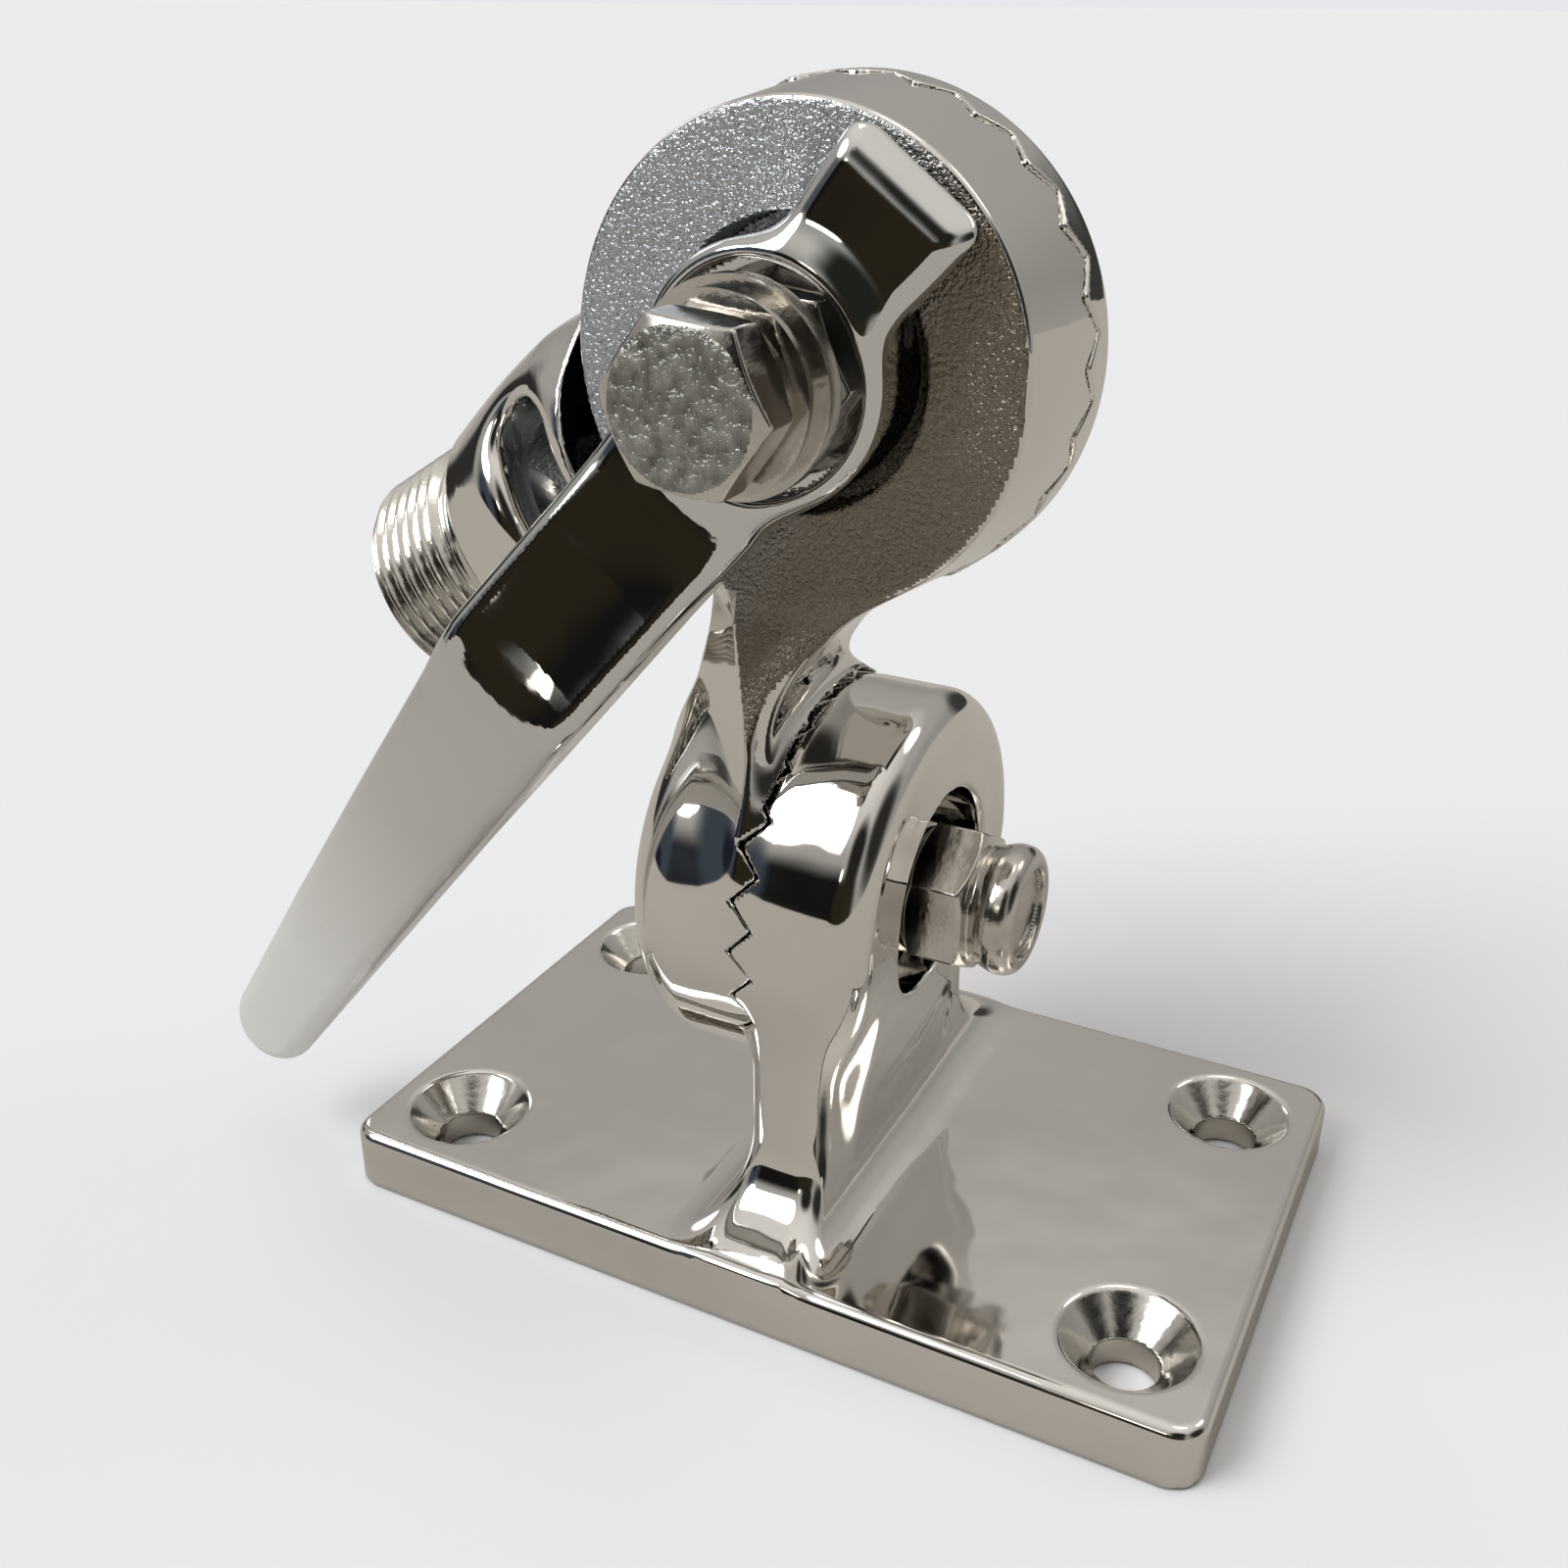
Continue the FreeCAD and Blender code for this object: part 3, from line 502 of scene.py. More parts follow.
def stub_field(points):
    """Serrated disc, hollow bulb with its cable slot, and the shoulder of the thread."""
    along, out = along_and_out(points, STUB_ORIGIN, STUB_DIRECTION)
    side = np.cross(STUB_DIRECTION, Y_AXIS)
    _, lifted_out = along_and_out(points, STUB_ORIGIN - side * BULB_LIFT, STUB_DIRECTION)
    faded = np.interp(along, (BULB_LIFT_START, STUB_SHOULDER), (0, BULB_LIFT))
    bulb = blend(out, lifted_out + faded, 1.5) - eased(along, BULB_PROFILE, 7)
    middle, half_length = (STUB_SHOULDER + BULB_START) / 2, (STUB_SHOULDER - BULB_START) / 2
    bulb = rounded_corner(bulb, np.abs(along - middle) - half_length, 0.9)
    disc_back = upper_point(UPPER_TEETH_Y - DISC_OVERLAP)
    disc = rod_field(points, disc_back, upper_point(STUB_BACK_Y), UPPER_DISC_R, 3.2)
    boss = rod_field(points, upper_point(0), upper_point(STUB_HIGH[1]), BOSS_R, 2.5)
    body = blend(blend(disc, boss, 3.0), bulb, 5.0)
    upper_out = np.hypot(points[0] - UPPER_CENTRE[0], points[2] - UPPER_CENTRE[2])
    mouth = serration_field(points, upper_point(UPPER_TEETH_Y), Y_AXIS, UPPER_DISC_R, 1)
    body = carve(body, np.maximum(mouth, upper_out - UPPER_DISC_R - RIM_GAP), 0.3)
    bore_start = STUB_ORIGIN + STUB_DIRECTION * STUB_BORE_START
    bore_end = STUB_ORIGIN + STUB_DIRECTION * (STUB_REACH + 5)
    body = carve(body, rod_field(points, bore_start, bore_end, STUB_BORE_R), 0.8)
    slot_width = np.abs(along - SLOT_CENTRE) - SLOT_HALF_WIDTH
    slot_length = np.abs(side @ (points - STUB_ORIGIN[:, None])) - SLOT_HALF_LENGTH
    slot = rounded_corner(slot_width, slot_length, SLOT_HALF_WIDTH)
    body = carve(body, np.maximum(slot, points[1] - STUB_ORIGIN[1]), 3.5)
    tapped_end = upper_point(STUB_HIGH[1] - 2)
    return np.maximum(body, -rod_field(points, upper_point(-1), tapped_end, THREAD_R))


# Lever, from its tail to its tip: distance from the upper axis, then the value there
LEVER_HALF_WIDTH = (
    (-23.6, 7.4), (-16.0, 7.0), (-8.0, 6.0), (0.0, 8.8), (12.0, 8.8), (20.0, 8.3), (37.0, 8.3), (106.0, 4.9)
)
LEVER_FRONT = (
    (-23.6, -14.9), (-6.0, -18.6), (14.0, -18.8), (20.0, -21.6), (37.0, -28.6),
    (60.0, -29.3), (80.0, -29.2), (106.0, -28.2)
)
LEVER_BACK = (
    (-23.6, -12.3), (-12.0, -11.6), (2.0, -11.0), (12.0, -12.0), (20.0, -14.9), (37.0, -20.6), (55.0, -22.7),
    (106.0, -23.7)
)


def lever_field(points):
    """Tail, hub with its dished face, and stepped paddle."""
    offset = points - upper_point(0)[:, None]
    along = LEVER_DIRECTION @ offset
    across = LEVER_ACROSS @ offset
    front, back = eased(along, LEVER_FRONT, 5), eased(along, LEVER_BACK, 5)
    hollow = 1 - np.minimum((across / LEVER_HOLLOW_HALF) ** 2, 1)
    front = front + LEVER_HOLLOW_DEPTH * hollow * np.interp(along, (16, 23, 33, 38), (0, 1, 1, 0))
    front = front + LEVER_CROWN * (1 - hollow) * np.interp(along, (36, 44), (0, 1))
    middle_y, half_y = (front + back) / 2, (back - front) / 2
    middle_s = (LEVER_TAIL + LEVER_TIP) / 2
    width = np.abs(across) - eased(along, LEVER_HALF_WIDTH, 5)
    ends = np.abs(along - middle_s) - (LEVER_TIP - LEVER_TAIL) / 2
    corner = np.interp(along, (middle_s - 5, middle_s + 5), (2.6, 4.7))
    outline = rounded_corner(width, ends, corner)
    blade = rounded_corner(outline, np.abs(points[1] - middle_y) - half_y, 2.1)
    bevel = math.cos(TAIL_BEVEL_ANGLE) * (TAIL_BEVEL_START - along)
    bevel = bevel + math.sin(TAIL_BEVEL_ANGLE) * (TAIL_BEVEL_Y - points[1])
    blade = carve(blade, -bevel, 1.2)
    hub = rod_field(points, upper_point(LEVER_RIM_Y), upper_point(LEVER_FOOT_Y), LEVER_HUB_R, 1.8)
    body = blend(blade, hub, 3.0)
    dish = rod_field(points, upper_point(-FAR), upper_point(LEVER_FACE_Y), LEVER_HUB_R - 1.7)
    body = carve(body, dish, 1.2)
    body = np.maximum(body, LEVER_LOW[1] - points[1])
    return np.maximum(body, -rod_field(points, upper_point(-FAR), upper_point(0), THREAD_R))


# ---- fasteners ---------------------------------------------------------------


def bolt_field(node, seat, point_at, axis_number, turn, tip_edge):
    """A field for a hexagon bolt: a head with a round face under it, and a plain shank."""
    low, high = box_mm(node)
    top, tip = point_at(low[axis_number]), point_at(high[axis_number])

    def field(points):
        head = hexagon_field(points, top, point_at(seat - WASHER_FACE_HEIGHT), turn, STRUCK_FACE_R)
        face = rod_field(points, point_at(seat - 1), point_at(seat), WASHER_FACE_R, 0.1)
        shank = rod_field(points, point_at(seat - 1), tip, SHANK_R, tip_edge)
        return np.minimum(np.minimum(head, face), shank)

    return field


def nut_field(node, point_at, axis_number, turn):
    """A field for a plain chamfered nut that fills a CAD node's place."""
    low, high = box_mm(node)
    start, end = point_at(low[axis_number]), point_at(high[axis_number])

    def field(points):
        body = hexagon_field(points, start, end, turn)
        return np.maximum(body, -rod_field(points, start, end, THREAD_R))

    return field


def lock_nut_field(points):
    """Hexagon, waist and rounded collar of the lock nut."""
    low, high = box_mm("lower_lock_nut")
    hex_end = low[0] + LOCK_HEX_LENGTH
    body = hexagon_field(points, lower_point(low[0]), lower_point(hex_end), LOWER_HEX_TURN)
    along, out = along_and_out(points, lower_point(hex_end), X_AXIS)
    collar_length = high[0] - hex_end
    collar_r = eased(along, ((-1.0, 6.9), (1.0, 6.5), (2.4, 7.1), (collar_length, 6.9)), 1.2)
    collar = rounded_corner(out - collar_r, np.abs(along - collar_length / 2) - collar_length / 2, 1.5)
    body = blend(body, collar, 0.8)
    return carve(body, rod_field(points, lower_point(low[0] - 1), lower_point(high[0] + 1), THREAD_R), 0.5)


# ---- thread ------------------------------------------------------------------


def thread_object():
    """The stub's helical thread, its chamfered end and the start of its bore."""
    columns = 160
    row_spacing = 0.12
    bore_back = STUB_SHOULDER - 0.5
    outer = np.arange(bore_back, STUB_REACH, row_spacing)
    inner_path = [(STUB_REACH, STUB_BORE_R + 0.7), (STUB_REACH - 0.7, STUB_BORE_R), (bore_back, STUB_BORE_R)]
    angle = np.arange(columns) / columns * 2 * math.pi
    along = np.concatenate([outer, [place for place, _ in inner_path]])
    along_grid = np.repeat(along[:, None], columns, axis=1)
    depth = 0.61 * STUB_PITCH
    wave = np.abs((along_grid / STUB_PITCH - angle[None, :] / (2 * math.pi)) % 1 - 0.5) * 2
    ridge = np.clip(wave * 1.3 - 0.12, 0, 1)
    start = np.clip((along_grid - STUB_RELIEF_END) / 0.6, 0, 1)
    chamfer_r = STUB_THREAD_R - 1.3 + (STUB_REACH - along_grid)
    radius = STUB_RELIEF_R + start * (STUB_THREAD_R - depth * (1 - ridge) - STUB_RELIEF_R)
    radius = np.minimum(radius, chamfer_r)
    for number, (_, inner_r) in enumerate(inner_path):
        radius[len(outer) + number] = inner_r
    side = np.cross(STUB_DIRECTION, Y_AXIS)
    spokes = np.outer(Y_AXIS, np.cos(angle)) + np.outer(side, np.sin(angle))
    points = STUB_ORIGIN[:, None, None] + STUB_DIRECTION[:, None, None] * along_grid
    points = points + spokes[:, None, :] * radius
    rows = len(along)
    row, column = np.meshgrid(np.arange(rows), np.arange(columns), indexing="ij")
    following_row, following_column = (row + 1) % rows, (column + 1) % columns
    faces = np.stack([
        row * columns + column,
        row * columns + following_column,
        following_row * columns + following_column,
        following_row * columns + column,
    ], axis=-1).reshape(-1, 4)
    piece = mesh_object("antenna_thread", points.reshape(3, -1), faces)
    piece.data.flip_normals()
    return piece


# ---- materials ---------------------------------------------------------------


class Maker:
    """Builds one procedural metal or plastic out of shader nodes."""

    def __init__(self, name, colour, roughness, metallic=1.0):
        self.material = bpy.data.materials.new(name)
        self.material.use_nodes = True
        self.nodes = self.material.node_tree.nodes
        self.links = self.material.node_tree.links
        self.shader = self.nodes["Principled BSDF"]
        self.shader.inputs["Metallic"].default_value = metallic
        self.shader.inputs["Base Color"].default_value = (*colour, 1)
        self.shader.inputs["Roughness"].default_value = roughness
        self.place = self.nodes.new("ShaderNodeTexCoord").outputs["Object"]

    def noise(self, per_metre, detail=3.0, stretch=None):
        """A noise pattern fixed to the object, stretched along some axes if asked."""
        place = self.place
        if stretch:
            mapping = self.nodes.new("ShaderNodeMapping")
            mapping.vector_type = "TEXTURE"
            mapping.inputs["Scale"].default_value = stretch
            self.links.new(place, mapping.inputs["Vector"])
            place = mapping.outputs["Vector"]
        texture = self.nodes.new("ShaderNodeTexNoise")
        texture.inputs["Scale"].default_value = per_metre
        texture.inputs["Detail"].default_value = detail
        self.links.new(place, texture.inputs["Vector"])
        return texture.outputs["Fac"]

    def spread(self, value, low, high, from_low=0.3, from_high=0.7):
        """A pattern's values brought into a range."""
        node = self.nodes.new("ShaderNodeMapRange")
        node.inputs["From Min"].default_value = from_low
        node.inputs["From Max"].default_value = from_high
        node.inputs["To Min"].default_value = low
        node.inputs["To Max"].default_value = high
        self.links.new(value, node.inputs["Value"])
        return node.outputs["Result"]

    def ramp(self, direction, start, end):
        """0 before one place along a direction and 1 beyond another, both in millimetres."""
        dot = self.nodes.new("ShaderNodeVectorMath")
        dot.operation = "DOT_PRODUCT"
        dot.inputs[1].default_value = tuple(direction)
        self.links.new(self.place, dot.inputs[0])
        return self.spread(dot.outputs["Value"], 0, 1, start / MM, end / MM)

    def roughness(self, value, low, high):
        """Roughness that follows a pattern."""
        self.links.new(self.spread(value, low, high), self.shader.inputs["Roughness"])

    def colour(self, value, dark, light):
        """Colour that follows a pattern."""
        mix = self.nodes.new("ShaderNodeMix")
        mix.data_type = "RGBA"
        mix.inputs["A"].default_value = (*dark, 1)
        mix.inputs["B"].default_value = (*light, 1)
        self.links.new(self.spread(value, 0, 1), mix.inputs["Factor"])
        self.links.new(mix.outputs["Result"], self.shader.inputs["Base Color"])

    def bump(self, *layers):
        """Relief from patterns, each with its height in metres."""
        normal = None
        for value, height in layers:
            node = self.nodes.new("ShaderNodeBump")
            node.inputs["Distance"].default_value = height
            self.links.new(value, node.inputs["Height"])
            if normal:
                self.links.new(normal, node.inputs["Normal"])
            normal = node.outputs["Normal"]
        self.links.new(normal, self.shader.inputs["Normal"])


def add_waves(maker):
    """The faint waves that polishing by hand leaves."""
    maker.bump((maker.noise(90, 1.5), 0.00025))


def polished_metal():
    """Mirror-polished casting, with faint waves and a little haze."""
    maker = Maker("polished_stainless", (0.74, 0.72, 0.69), 0.05)
    haze = maker.noise(45, 4)
    maker.roughness(haze, 0.03, 0.075)
    maker.colour(haze, (0.71, 0.69, 0.66), (0.77, 0.75, 0.72))
    add_waves(maker)
    return maker.material


def rough_casting():
    """The surface that a sand mould leaves, with painted light on it: a painted cool reflection that makes it
    lighter towards its upper left, and painted shade towards its lower right.
    """
    maker = Maker("sand_cast_stainless", (0.42, 0.41, 0.39), 0.36)
    grain = maker.noise(2600, 2)
    across = UPPER_CENTRE @ PAINTED_SHADE_DIRECTION
    shade = maker.ramp(PAINTED_SHADE_DIRECTION, across - UPPER_DISC_R, across + UPPER_DISC_R)
    maker.roughness(grain, 0.18, 0.42)
    # Painted shade and painted reflection: the colour runs from cool and light at the upper left to dark brown at
    # the lower right
    maker.colour(shade, (0.52, 0.555, 0.60), (0.255, 0.225, 0.185))
    maker.bump((grain, 0.0003))
    return maker.material


def lever_metal():
    """The lever: mirror bright at the hub, satin along the paddle, and painted paler and less metallic towards its
    tip: a painted sheen.
    """
    maker = Maker("lever_stainless", (0.74, 0.72, 0.69), 0.05)
    hub = LEVER_DIRECTION @ UPPER_CENTRE
    satin = maker.ramp(LEVER_DIRECTION, hub + PADDLE_START - 1, hub + PADDLE_START + 2)
    painted_sheen = maker.ramp(LEVER_DIRECTION, hub + PADDLE_START, hub + LEVER_TIP)
    maker.links.new(maker.spread(satin, 0.05, 0.27, 0, 1), maker.shader.inputs["Roughness"])
    # Painted sheen: towards the tip the paddle is painted paler and less metallic
    maker.links.new(maker.spread(painted_sheen, 1.0, 0.55, 0, 1), maker.shader.inputs["Metallic"])
    maker.colour(painted_sheen, (0.68, 0.68, 0.665), (0.90, 0.91, 0.91))
    add_waves(maker)
    return maker.material


def turned_metal():
    """Lathe-cut thread and bored surfaces."""
    maker = Maker("turned_stainless", (0.70, 0.68, 0.64), 0.14)
    lines = maker.noise(900, 3)
    maker.roughness(lines, 0.10, 0.18)
    maker.colour(maker.noise(120, 3), (0.60, 0.58, 0.54), (0.72, 0.70, 0.66))
    maker.bump((lines, 0.00003))
    return maker.material


def fastener_metal():
    """Cold-formed nuts and washers with drawn, slightly dull flats."""
    maker = Maker("drawn_stainless", (0.6, 0.57, 0.54), 0.16)
    lines = maker.noise(1500, 3, (1, 12, 1))
    blotch = maker.noise(180, 4)
    maker.roughness(blotch, 0.08, 0.24)
    maker.colour(blotch, (0.50, 0.475, 0.44), (0.68, 0.65, 0.61))
    maker.bump((lines, 0.00003), (blotch, 0.0001))
    return maker.material


def forged_face():
    """The blotchy struck end of a bolt's head."""
    maker = Maker("forged_stainless", (0.36, 0.36, 0.33), 0.4)
    blotch = maker.noise(750, 6)
    maker.roughness(blotch, 0.24, 0.5)
    maker.colour(blotch, (0.17, 0.17, 0.155), (0.46, 0.46, 0.43))
    maker.bump((blotch, 0.0006), (maker.noise(1500, 2), 0.0001))
    return maker.material


def spring_metal():
    """Drawn spring wire."""
    maker = Maker("spring_wire", (0.45, 0.44, 0.43), 0.3)
    maker.roughness(maker.noise(700, 3), 0.22, 0.38)
    return maker.material


def nylon():
    """White nylon."""
    maker = Maker("white_nylon", (0.82, 0.82, 0.78), 0.45, 0.0)
    maker.colour(maker.noise(300, 3), (0.78, 0.78, 0.73), (0.86, 0.86, 0.83))
    return maker.material


POLISHED = polished_metal()
ROUGH = rough_casting()
LEVER_METAL = lever_metal()
TURNED = turned_metal()
FASTENER = fastener_metal()
FORGED = forged_face()
SPRING = spring_metal()
NYLON = nylon()


def face_centres(piece):
    """The middle of every face, in millimetres, as a (3, n) array."""
    centres = np.empty(len(piece.data.polygons) * 3)
    piece.data.polygons.foreach_get("center", centres)
    return centres.reshape(-1, 3).T * MM


def finish_piece(piece, node, materials, region=None):
    """Puts a piece on its CAD node's body and its materials by region."""
    for material in materials:
        piece.data.materials.append(material)
    if region is not None:
        numbers = region(face_centres(piece)).astype(np.int32)
        piece.data.polygons.foreach_set("material_index", numbers)
    body = next(name for name, nodes in frame["record"]["behaviour"]["bodies"].items() if node in nodes)
    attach(piece, body)


# ---- regions -----------------------------------------------------------------


def arm_region(centres):
    """1 on the rough front face, in the recess and on the neck's facet, else 0."""
    along, out = along_and_out(centres, upper_point(UPPER_ARM_FACE_Y), Y_AXIS)
    face = (along < 0.35) & (out < UPPER_FACE_R - 0.3)
    recess = (out < RECESS_R + 0.4) & (along < 6)
    reach = np.interp(centres[2], (66, 72), (0.35, 2.0))
    facet = np.abs(plane_field(centres, FACET_CORNERS)) < reach
    facet = facet & (plane_field(centres, FLANK_CORNERS) < -0.1) & (centres[2] > LOWER_CENTRE[2] + 16)
    facet = facet & (out < UPPER_DISC_R + 12) & (centres[1] < UPPER_ARM_FACE_Y + 0.6)
    return face | recess | facet


def stub_region(centres):
    """1 inside the hollow bulb, else 0."""
    along, out = along_and_out(centres, STUB_ORIGIN, STUB_DIRECTION)
    return (out < STUB_BORE_R + 0.5) & (along > STUB_BORE_START - 2)


def clamp_head_region(centres):
    """1 on the struck end of the clamp bolt's head, else 0."""
    out = np.hypot(centres[0] - UPPER_CENTRE[0], centres[2] - UPPER_CENTRE[2])
    return (centres[1] < box_mm("clamp_bolt")[0][1] + 0.4) & (out < STRUCK_FACE_R + 0.3)


def sink_region(centres):
    """1 in the countersinks, which are cut and not polished, else 0."""
    return (from_screw_hole(centres) < COUNTERSINK_R - 0.2) & (centres[2] < PLATE_THICKNESS - 0.1)


# ---- the object --------------------------------------------------------------

CASTING_STEP = 0.42
ARM_STEP = 0.36
FASTENER_STEP = 0.25


def build_piece(name, node, field, step, materials, region=None):
    """Rebuilds a CAD node from its field, in the node's place."""
    piece = field_object(name, field, *box_mm(node), step)
    finish_piece(piece, node, materials, region)
    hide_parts(node)


def build_castings():
    """The four castings and the thread."""
    build_piece("base_body", "base_casting", base_field, CASTING_STEP, (POLISHED, TURNED), sink_region)
    build_piece("arm_body", "tilt_arm", arm_field, ARM_STEP, (POLISHED, ROUGH), arm_region)
    build_piece("stub_body", "antenna_stub", stub_field, CASTING_STEP, (POLISHED, ROUGH), stub_region)
    finish_piece(thread_object(), "antenna_stub", (TURNED,))
    build_piece("lever_body", "lever_handle", lever_field, ARM_STEP, (LEVER_METAL,))


def build_fasteners():
    """Bolts and nuts with chamfered and eased edges."""
    clamp_seat = box_mm("clamp_spring_washer")[0][1]
    lower_seat = box_mm("lower_head_washer")[0][0]
    fields = {
        "clamp_bolt": bolt_field("clamp_bolt", clamp_seat, upper_point, 1, CLAMP_HEX_TURN, 0.4),
        "lower_bolt": bolt_field("lower_bolt", lower_seat, lower_point, 0, LOWER_HEX_TURN, 0.6),
        "lower_lock_nut": lock_nut_field,
        "lower_jam_nut": nut_field("lower_jam_nut", lower_point, 0, LOWER_HEX_TURN),
        "lever_jam_nut": nut_field("lever_jam_nut", upper_point, 1, CLAMP_HEX_TURN),
    }
    for node, field in fields.items():
        struck = node == "clamp_bolt"
        materials = (FASTENER, FORGED) if struck else (FASTENER,)
        region = clamp_head_region if struck else None
        build_piece(node + "_detail", node, field, FASTENER_STEP, materials, region)


def paint_plain_pieces():
    """Materials for the washers, springs, seats and the nylon ring, which keep their CAD shape."""
    plain = {
        FASTENER: (
            "lower_head_washer", "lower_nut_washer", "lower_spring_seat", "upper_spring_seat",
            "lever_thrust_washer", "clamp_flat_washer", "clamp_spring_washer",
        ),
        SPRING: ("lower_release_spring", "upper_release_spring"),
        NYLON: ("lower_lock_nut_insert",),
    }
    for material, nodes in plain.items():
        for node in nodes:
            mesh = frame["nodes"][node].data
            mesh.materials.clear()
            mesh.materials.append(material)


# ---- studio ------------------------------------------------------------------

CAMERA_PLACE = Vector((0.06514, -0.14469, 0.12518))
CAMERA_YAW = math.radians(27.11)
CAMERA_PITCH = math.radians(25.53)
CAMERA_ROLL = math.radians(0.40)
CAMERA_LENS = 37.63
BACKDROP = (0.80, 0.805, 0.845)
MIRRORED_FLOOR = (0.48, 0.46, 0.43)
FLOOR_REACH = 60.0
FLOOR_GAP = 0.0002


def build_camera():
    """A camera above the front right corner, looking down at the mount."""
    forward = Vector((
        -math.sin(CAMERA_YAW) * math.cos(CAMERA_PITCH),
        math.cos(CAMERA_YAW) * math.cos(CAMERA_PITCH),
        -math.sin(CAMERA_PITCH),
    ))
    level = Vector((math.cos(CAMERA_YAW), math.sin(CAMERA_YAW), 0))
    upright = level.cross(forward)
    right = level * math.cos(CAMERA_ROLL) + upright * math.sin(CAMERA_ROLL)
    top = right.cross(forward)
    data = bpy.data.cameras.new("camera")
    data.lens = CAMERA_LENS
    data.clip_start = 0.01
    camera = bpy.data.objects.new("camera", data)
    rotation = Matrix((right, top, -forward)).transposed()
    camera.matrix_world = Matrix.Translation(CAMERA_PLACE) @ rotation.to_4x4()
    bpy.context.scene.collection.objects.link(camera)
    bpy.context.scene.camera = camera


def build_floor():
    """A pale matt floor, level with the plate's underside, that mirrors show a little darker."""
    mesh = bpy.data.meshes.new("floor")
    corners = [(x * FLOOR_REACH, y * FLOOR_REACH, 0) for x, y in ((-1, -1), (1, -1), (1, 1), (-1, 1))]
    mesh.from_pydata(corners, [], [(0, 1, 2, 3)])
    floor = bpy.data.objects.new("floor", mesh)
    floor.location.z = CAD_LOW[2] - FLOOR_GAP
    bpy.context.scene.collection.objects.link(floor)
    maker = Maker("pale_floor", BACKDROP, 0.9, 0.0)
    mix = maker.nodes.new("ShaderNodeMix")
    mix.data_type = "RGBA"
    mix.inputs["A"].default_value = (*BACKDROP, 1)
    mix.inputs["B"].default_value = (*MIRRORED_FLOOR, 1)
    path = maker.nodes.new("ShaderNodeLightPath")
    maker.links.new(path.outputs["Is Glossy Ray"], mix.inputs["Factor"])
    maker.links.new(mix.outputs["Result"], maker.shader.inputs["Base Color"])
    maker.shader.inputs["Specular IOR Level"].default_value = 0.0
    mesh.materials.append(maker.material)


def build_key_light():
    """A broad soft light from the upper left, so that the shadow falls to the right."""
    data = bpy.data.lights.new("key_light", "SUN")
    data.energy = 1.9
    data.angle = math.radians(34)
    light = bpy.data.objects.new("key_light", data)
    light.rotation_mode = "QUATERNION"
    light.rotation_quaternion = Vector((0.5, 0.5, -0.75)).to_track_quat("-Z", "Y")
    bpy.context.scene.collection.objects.link(light)


# What the metal mirrors: direction, inner and outer angle in degrees, colour
ROOM_PATCHES = (
    ((-0.30, -1.0, -0.02), 22, 34, (0.010, 0.009, 0.008)),
    ((0.40, -1.0, 0.15), 16, 30, (0.030, 0.026, 0.016)),
    ((0.03, -1.0, 0.15), 10, 20, (0.026, 0.021, 0.012)),
    ((-0.85, -0.75, 0.18), 12, 26, (0.05, 0.065, 0.085)),
    ((-0.85, -0.62, 0.02), 5, 9, (0.012, 0.016, 0.028)),
    ((0.42, -0.75, 0.62), 12, 26, (0.020, 0.020, 0.017)),
    ((-1.0, 0.15, 0.12), 9, 18, (0.03, 0.03, 0.03)),
    ((1.0, -0.1, 0.40), 12, 30, (0.030, 0.028, 0.024)),
    ((-0.10, -0.85, 0.42), 2.5, 4, (3.6, 3.4, 2.9)),
    ((-0.45, -0.70, 0.60), 3, 5, (4.0, 3.9, 3.6)),
    ((0.55, 0.55, 0.85), 7, 11, (2.6, 2.5, 2.3)),
    ((-0.85, 0.45, 0.55), 5, 9, (2.2, 2.2, 2.2)),
    ((0.1, 0.2, 1.0), 6, 10, (2.4, 2.3, 2.1)),
    ((0.15, 1.0, 0.02), 10, 20, (0.05, 0.048, 0.045)),
)


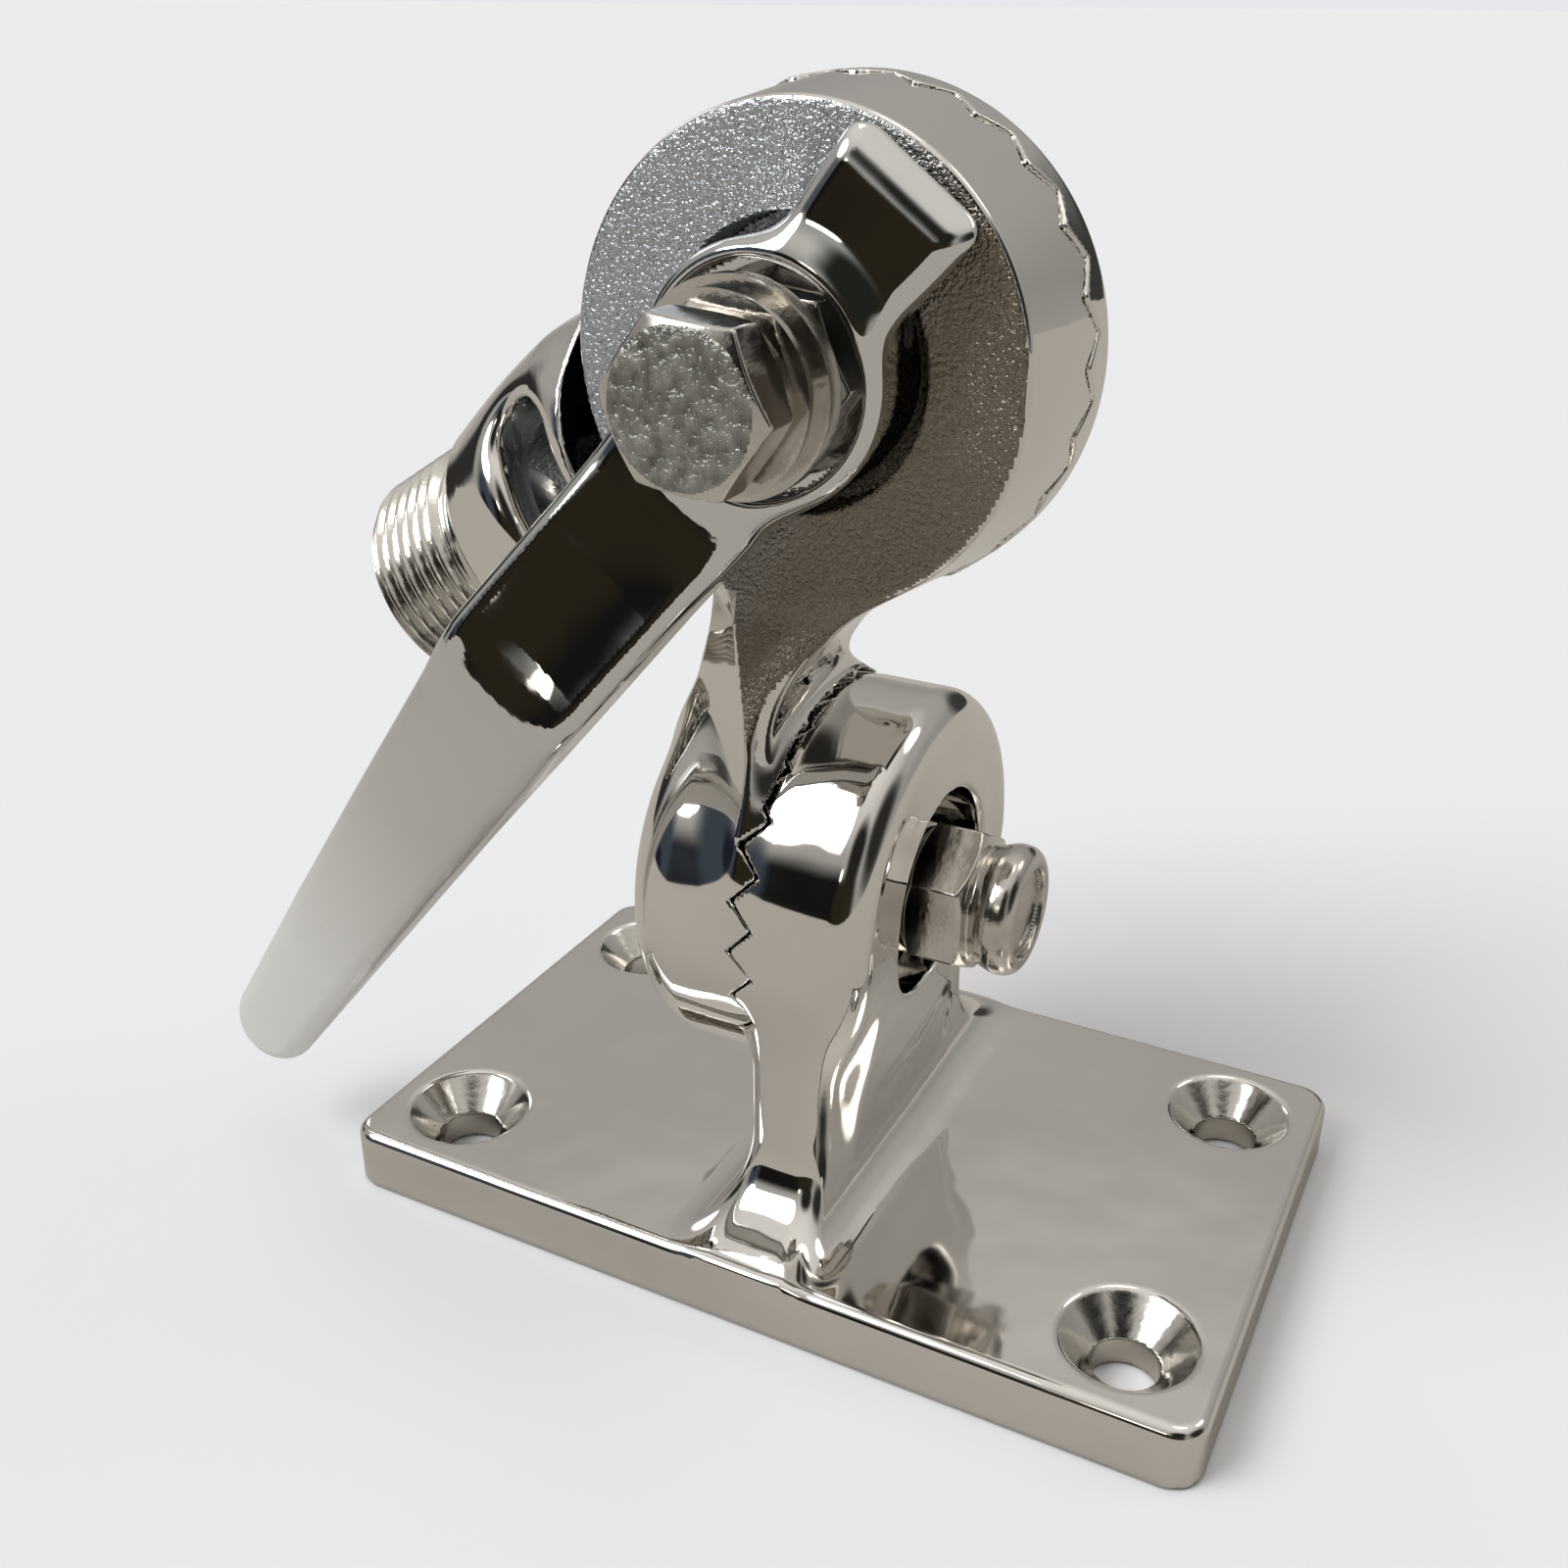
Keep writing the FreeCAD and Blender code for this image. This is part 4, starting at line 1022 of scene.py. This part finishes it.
class Sky:
    """The room that the polished metal mirrors, built from soft patches of light and dark."""

    def __init__(self):
        world = bpy.data.worlds.new("studio")
        world.use_nodes = True
        bpy.context.scene.world = world
        self.nodes = world.node_tree.nodes
        self.links = world.node_tree.links
        self.direction = self.nodes.new("ShaderNodeTexCoord").outputs["Generated"]
        self.background = self.nodes["Background"]

    def height(self):
        """0 straight down, 0.5 at the horizon and 1 straight up."""
        split = self.nodes.new("ShaderNodeSeparateXYZ")
        self.links.new(self.direction, split.inputs[0])
        spread = self.nodes.new("ShaderNodeMapRange")
        spread.inputs["From Min"].default_value = -1
        self.links.new(split.outputs["Z"], spread.inputs["Value"])
        return spread.outputs["Result"]

    def patch(self, towards, inner_deg, outer_deg):
        """1 around a direction, fading to 0 between two angles from it."""
        dot = self.nodes.new("ShaderNodeVectorMath")
        dot.operation = "DOT_PRODUCT"
        dot.inputs[1].default_value = Vector(towards).normalized()
        self.links.new(self.direction, dot.inputs[0])
        ramp = self.nodes.new("ShaderNodeMapRange")
        ramp.interpolation_type = "SMOOTHSTEP"
        ramp.inputs["From Min"].default_value = math.cos(math.radians(outer_deg))
        ramp.inputs["From Max"].default_value = math.cos(math.radians(inner_deg))
        self.links.new(dot.outputs["Value"], ramp.inputs["Value"])
        return ramp.outputs["Result"]

    def mix(self, factor, first, second):
        """A mix of two colours, each a socket or a colour."""
        node = self.nodes.new("ShaderNodeMix")
        node.data_type = "RGBA"
        self.links.new(factor, node.inputs["Factor"])
        for key, value in (("A", first), ("B", second)):
            if isinstance(value, tuple):
                node.inputs[key].default_value = (*value, 1)
            else:
                self.links.new(value, node.inputs[key])
        return node.outputs["Result"]


def build_world():
    """A pale room, dark in front of the mount, with bright lamps overhead."""
    sky = Sky()
    ramp = sky.nodes.new("ShaderNodeValToRGB")
    stops = (
        (0.0, (0.60, 0.59, 0.57)),
        (0.50, (0.40, 0.385, 0.355)),
        (0.58, (0.34, 0.33, 0.31)),
        (0.70, (0.42, 0.41, 0.39)),
        (0.80, (0.46, 0.445, 0.415)),
        (1.0, (0.90, 0.87, 0.82)),
    )
    elements = ramp.color_ramp.elements
    while len(elements) < len(stops):
        elements.new(0.5)
    for element, (place, colour) in zip(elements, stops):
        element.position = place
        element.color = (*colour, 1)
    sky.links.new(sky.height(), ramp.inputs["Fac"])
    room = ramp.outputs["Color"]
    for towards, inner, outer, colour in ROOM_PATCHES:
        room = sky.mix(sky.patch(towards, inner, outer), room, colour)
    path = sky.nodes.new("ShaderNodeLightPath")
    seen = sky.mix(path.outputs["Is Camera Ray"], room, BACKDROP)
    sky.links.new(seen, sky.background.inputs["Color"])


build_castings()
build_fasteners()
paint_plain_pieces()
build_floor()
build_key_light()
build_world()
build_camera()
bpy.context.scene.view_settings.view_transform = "Standard"
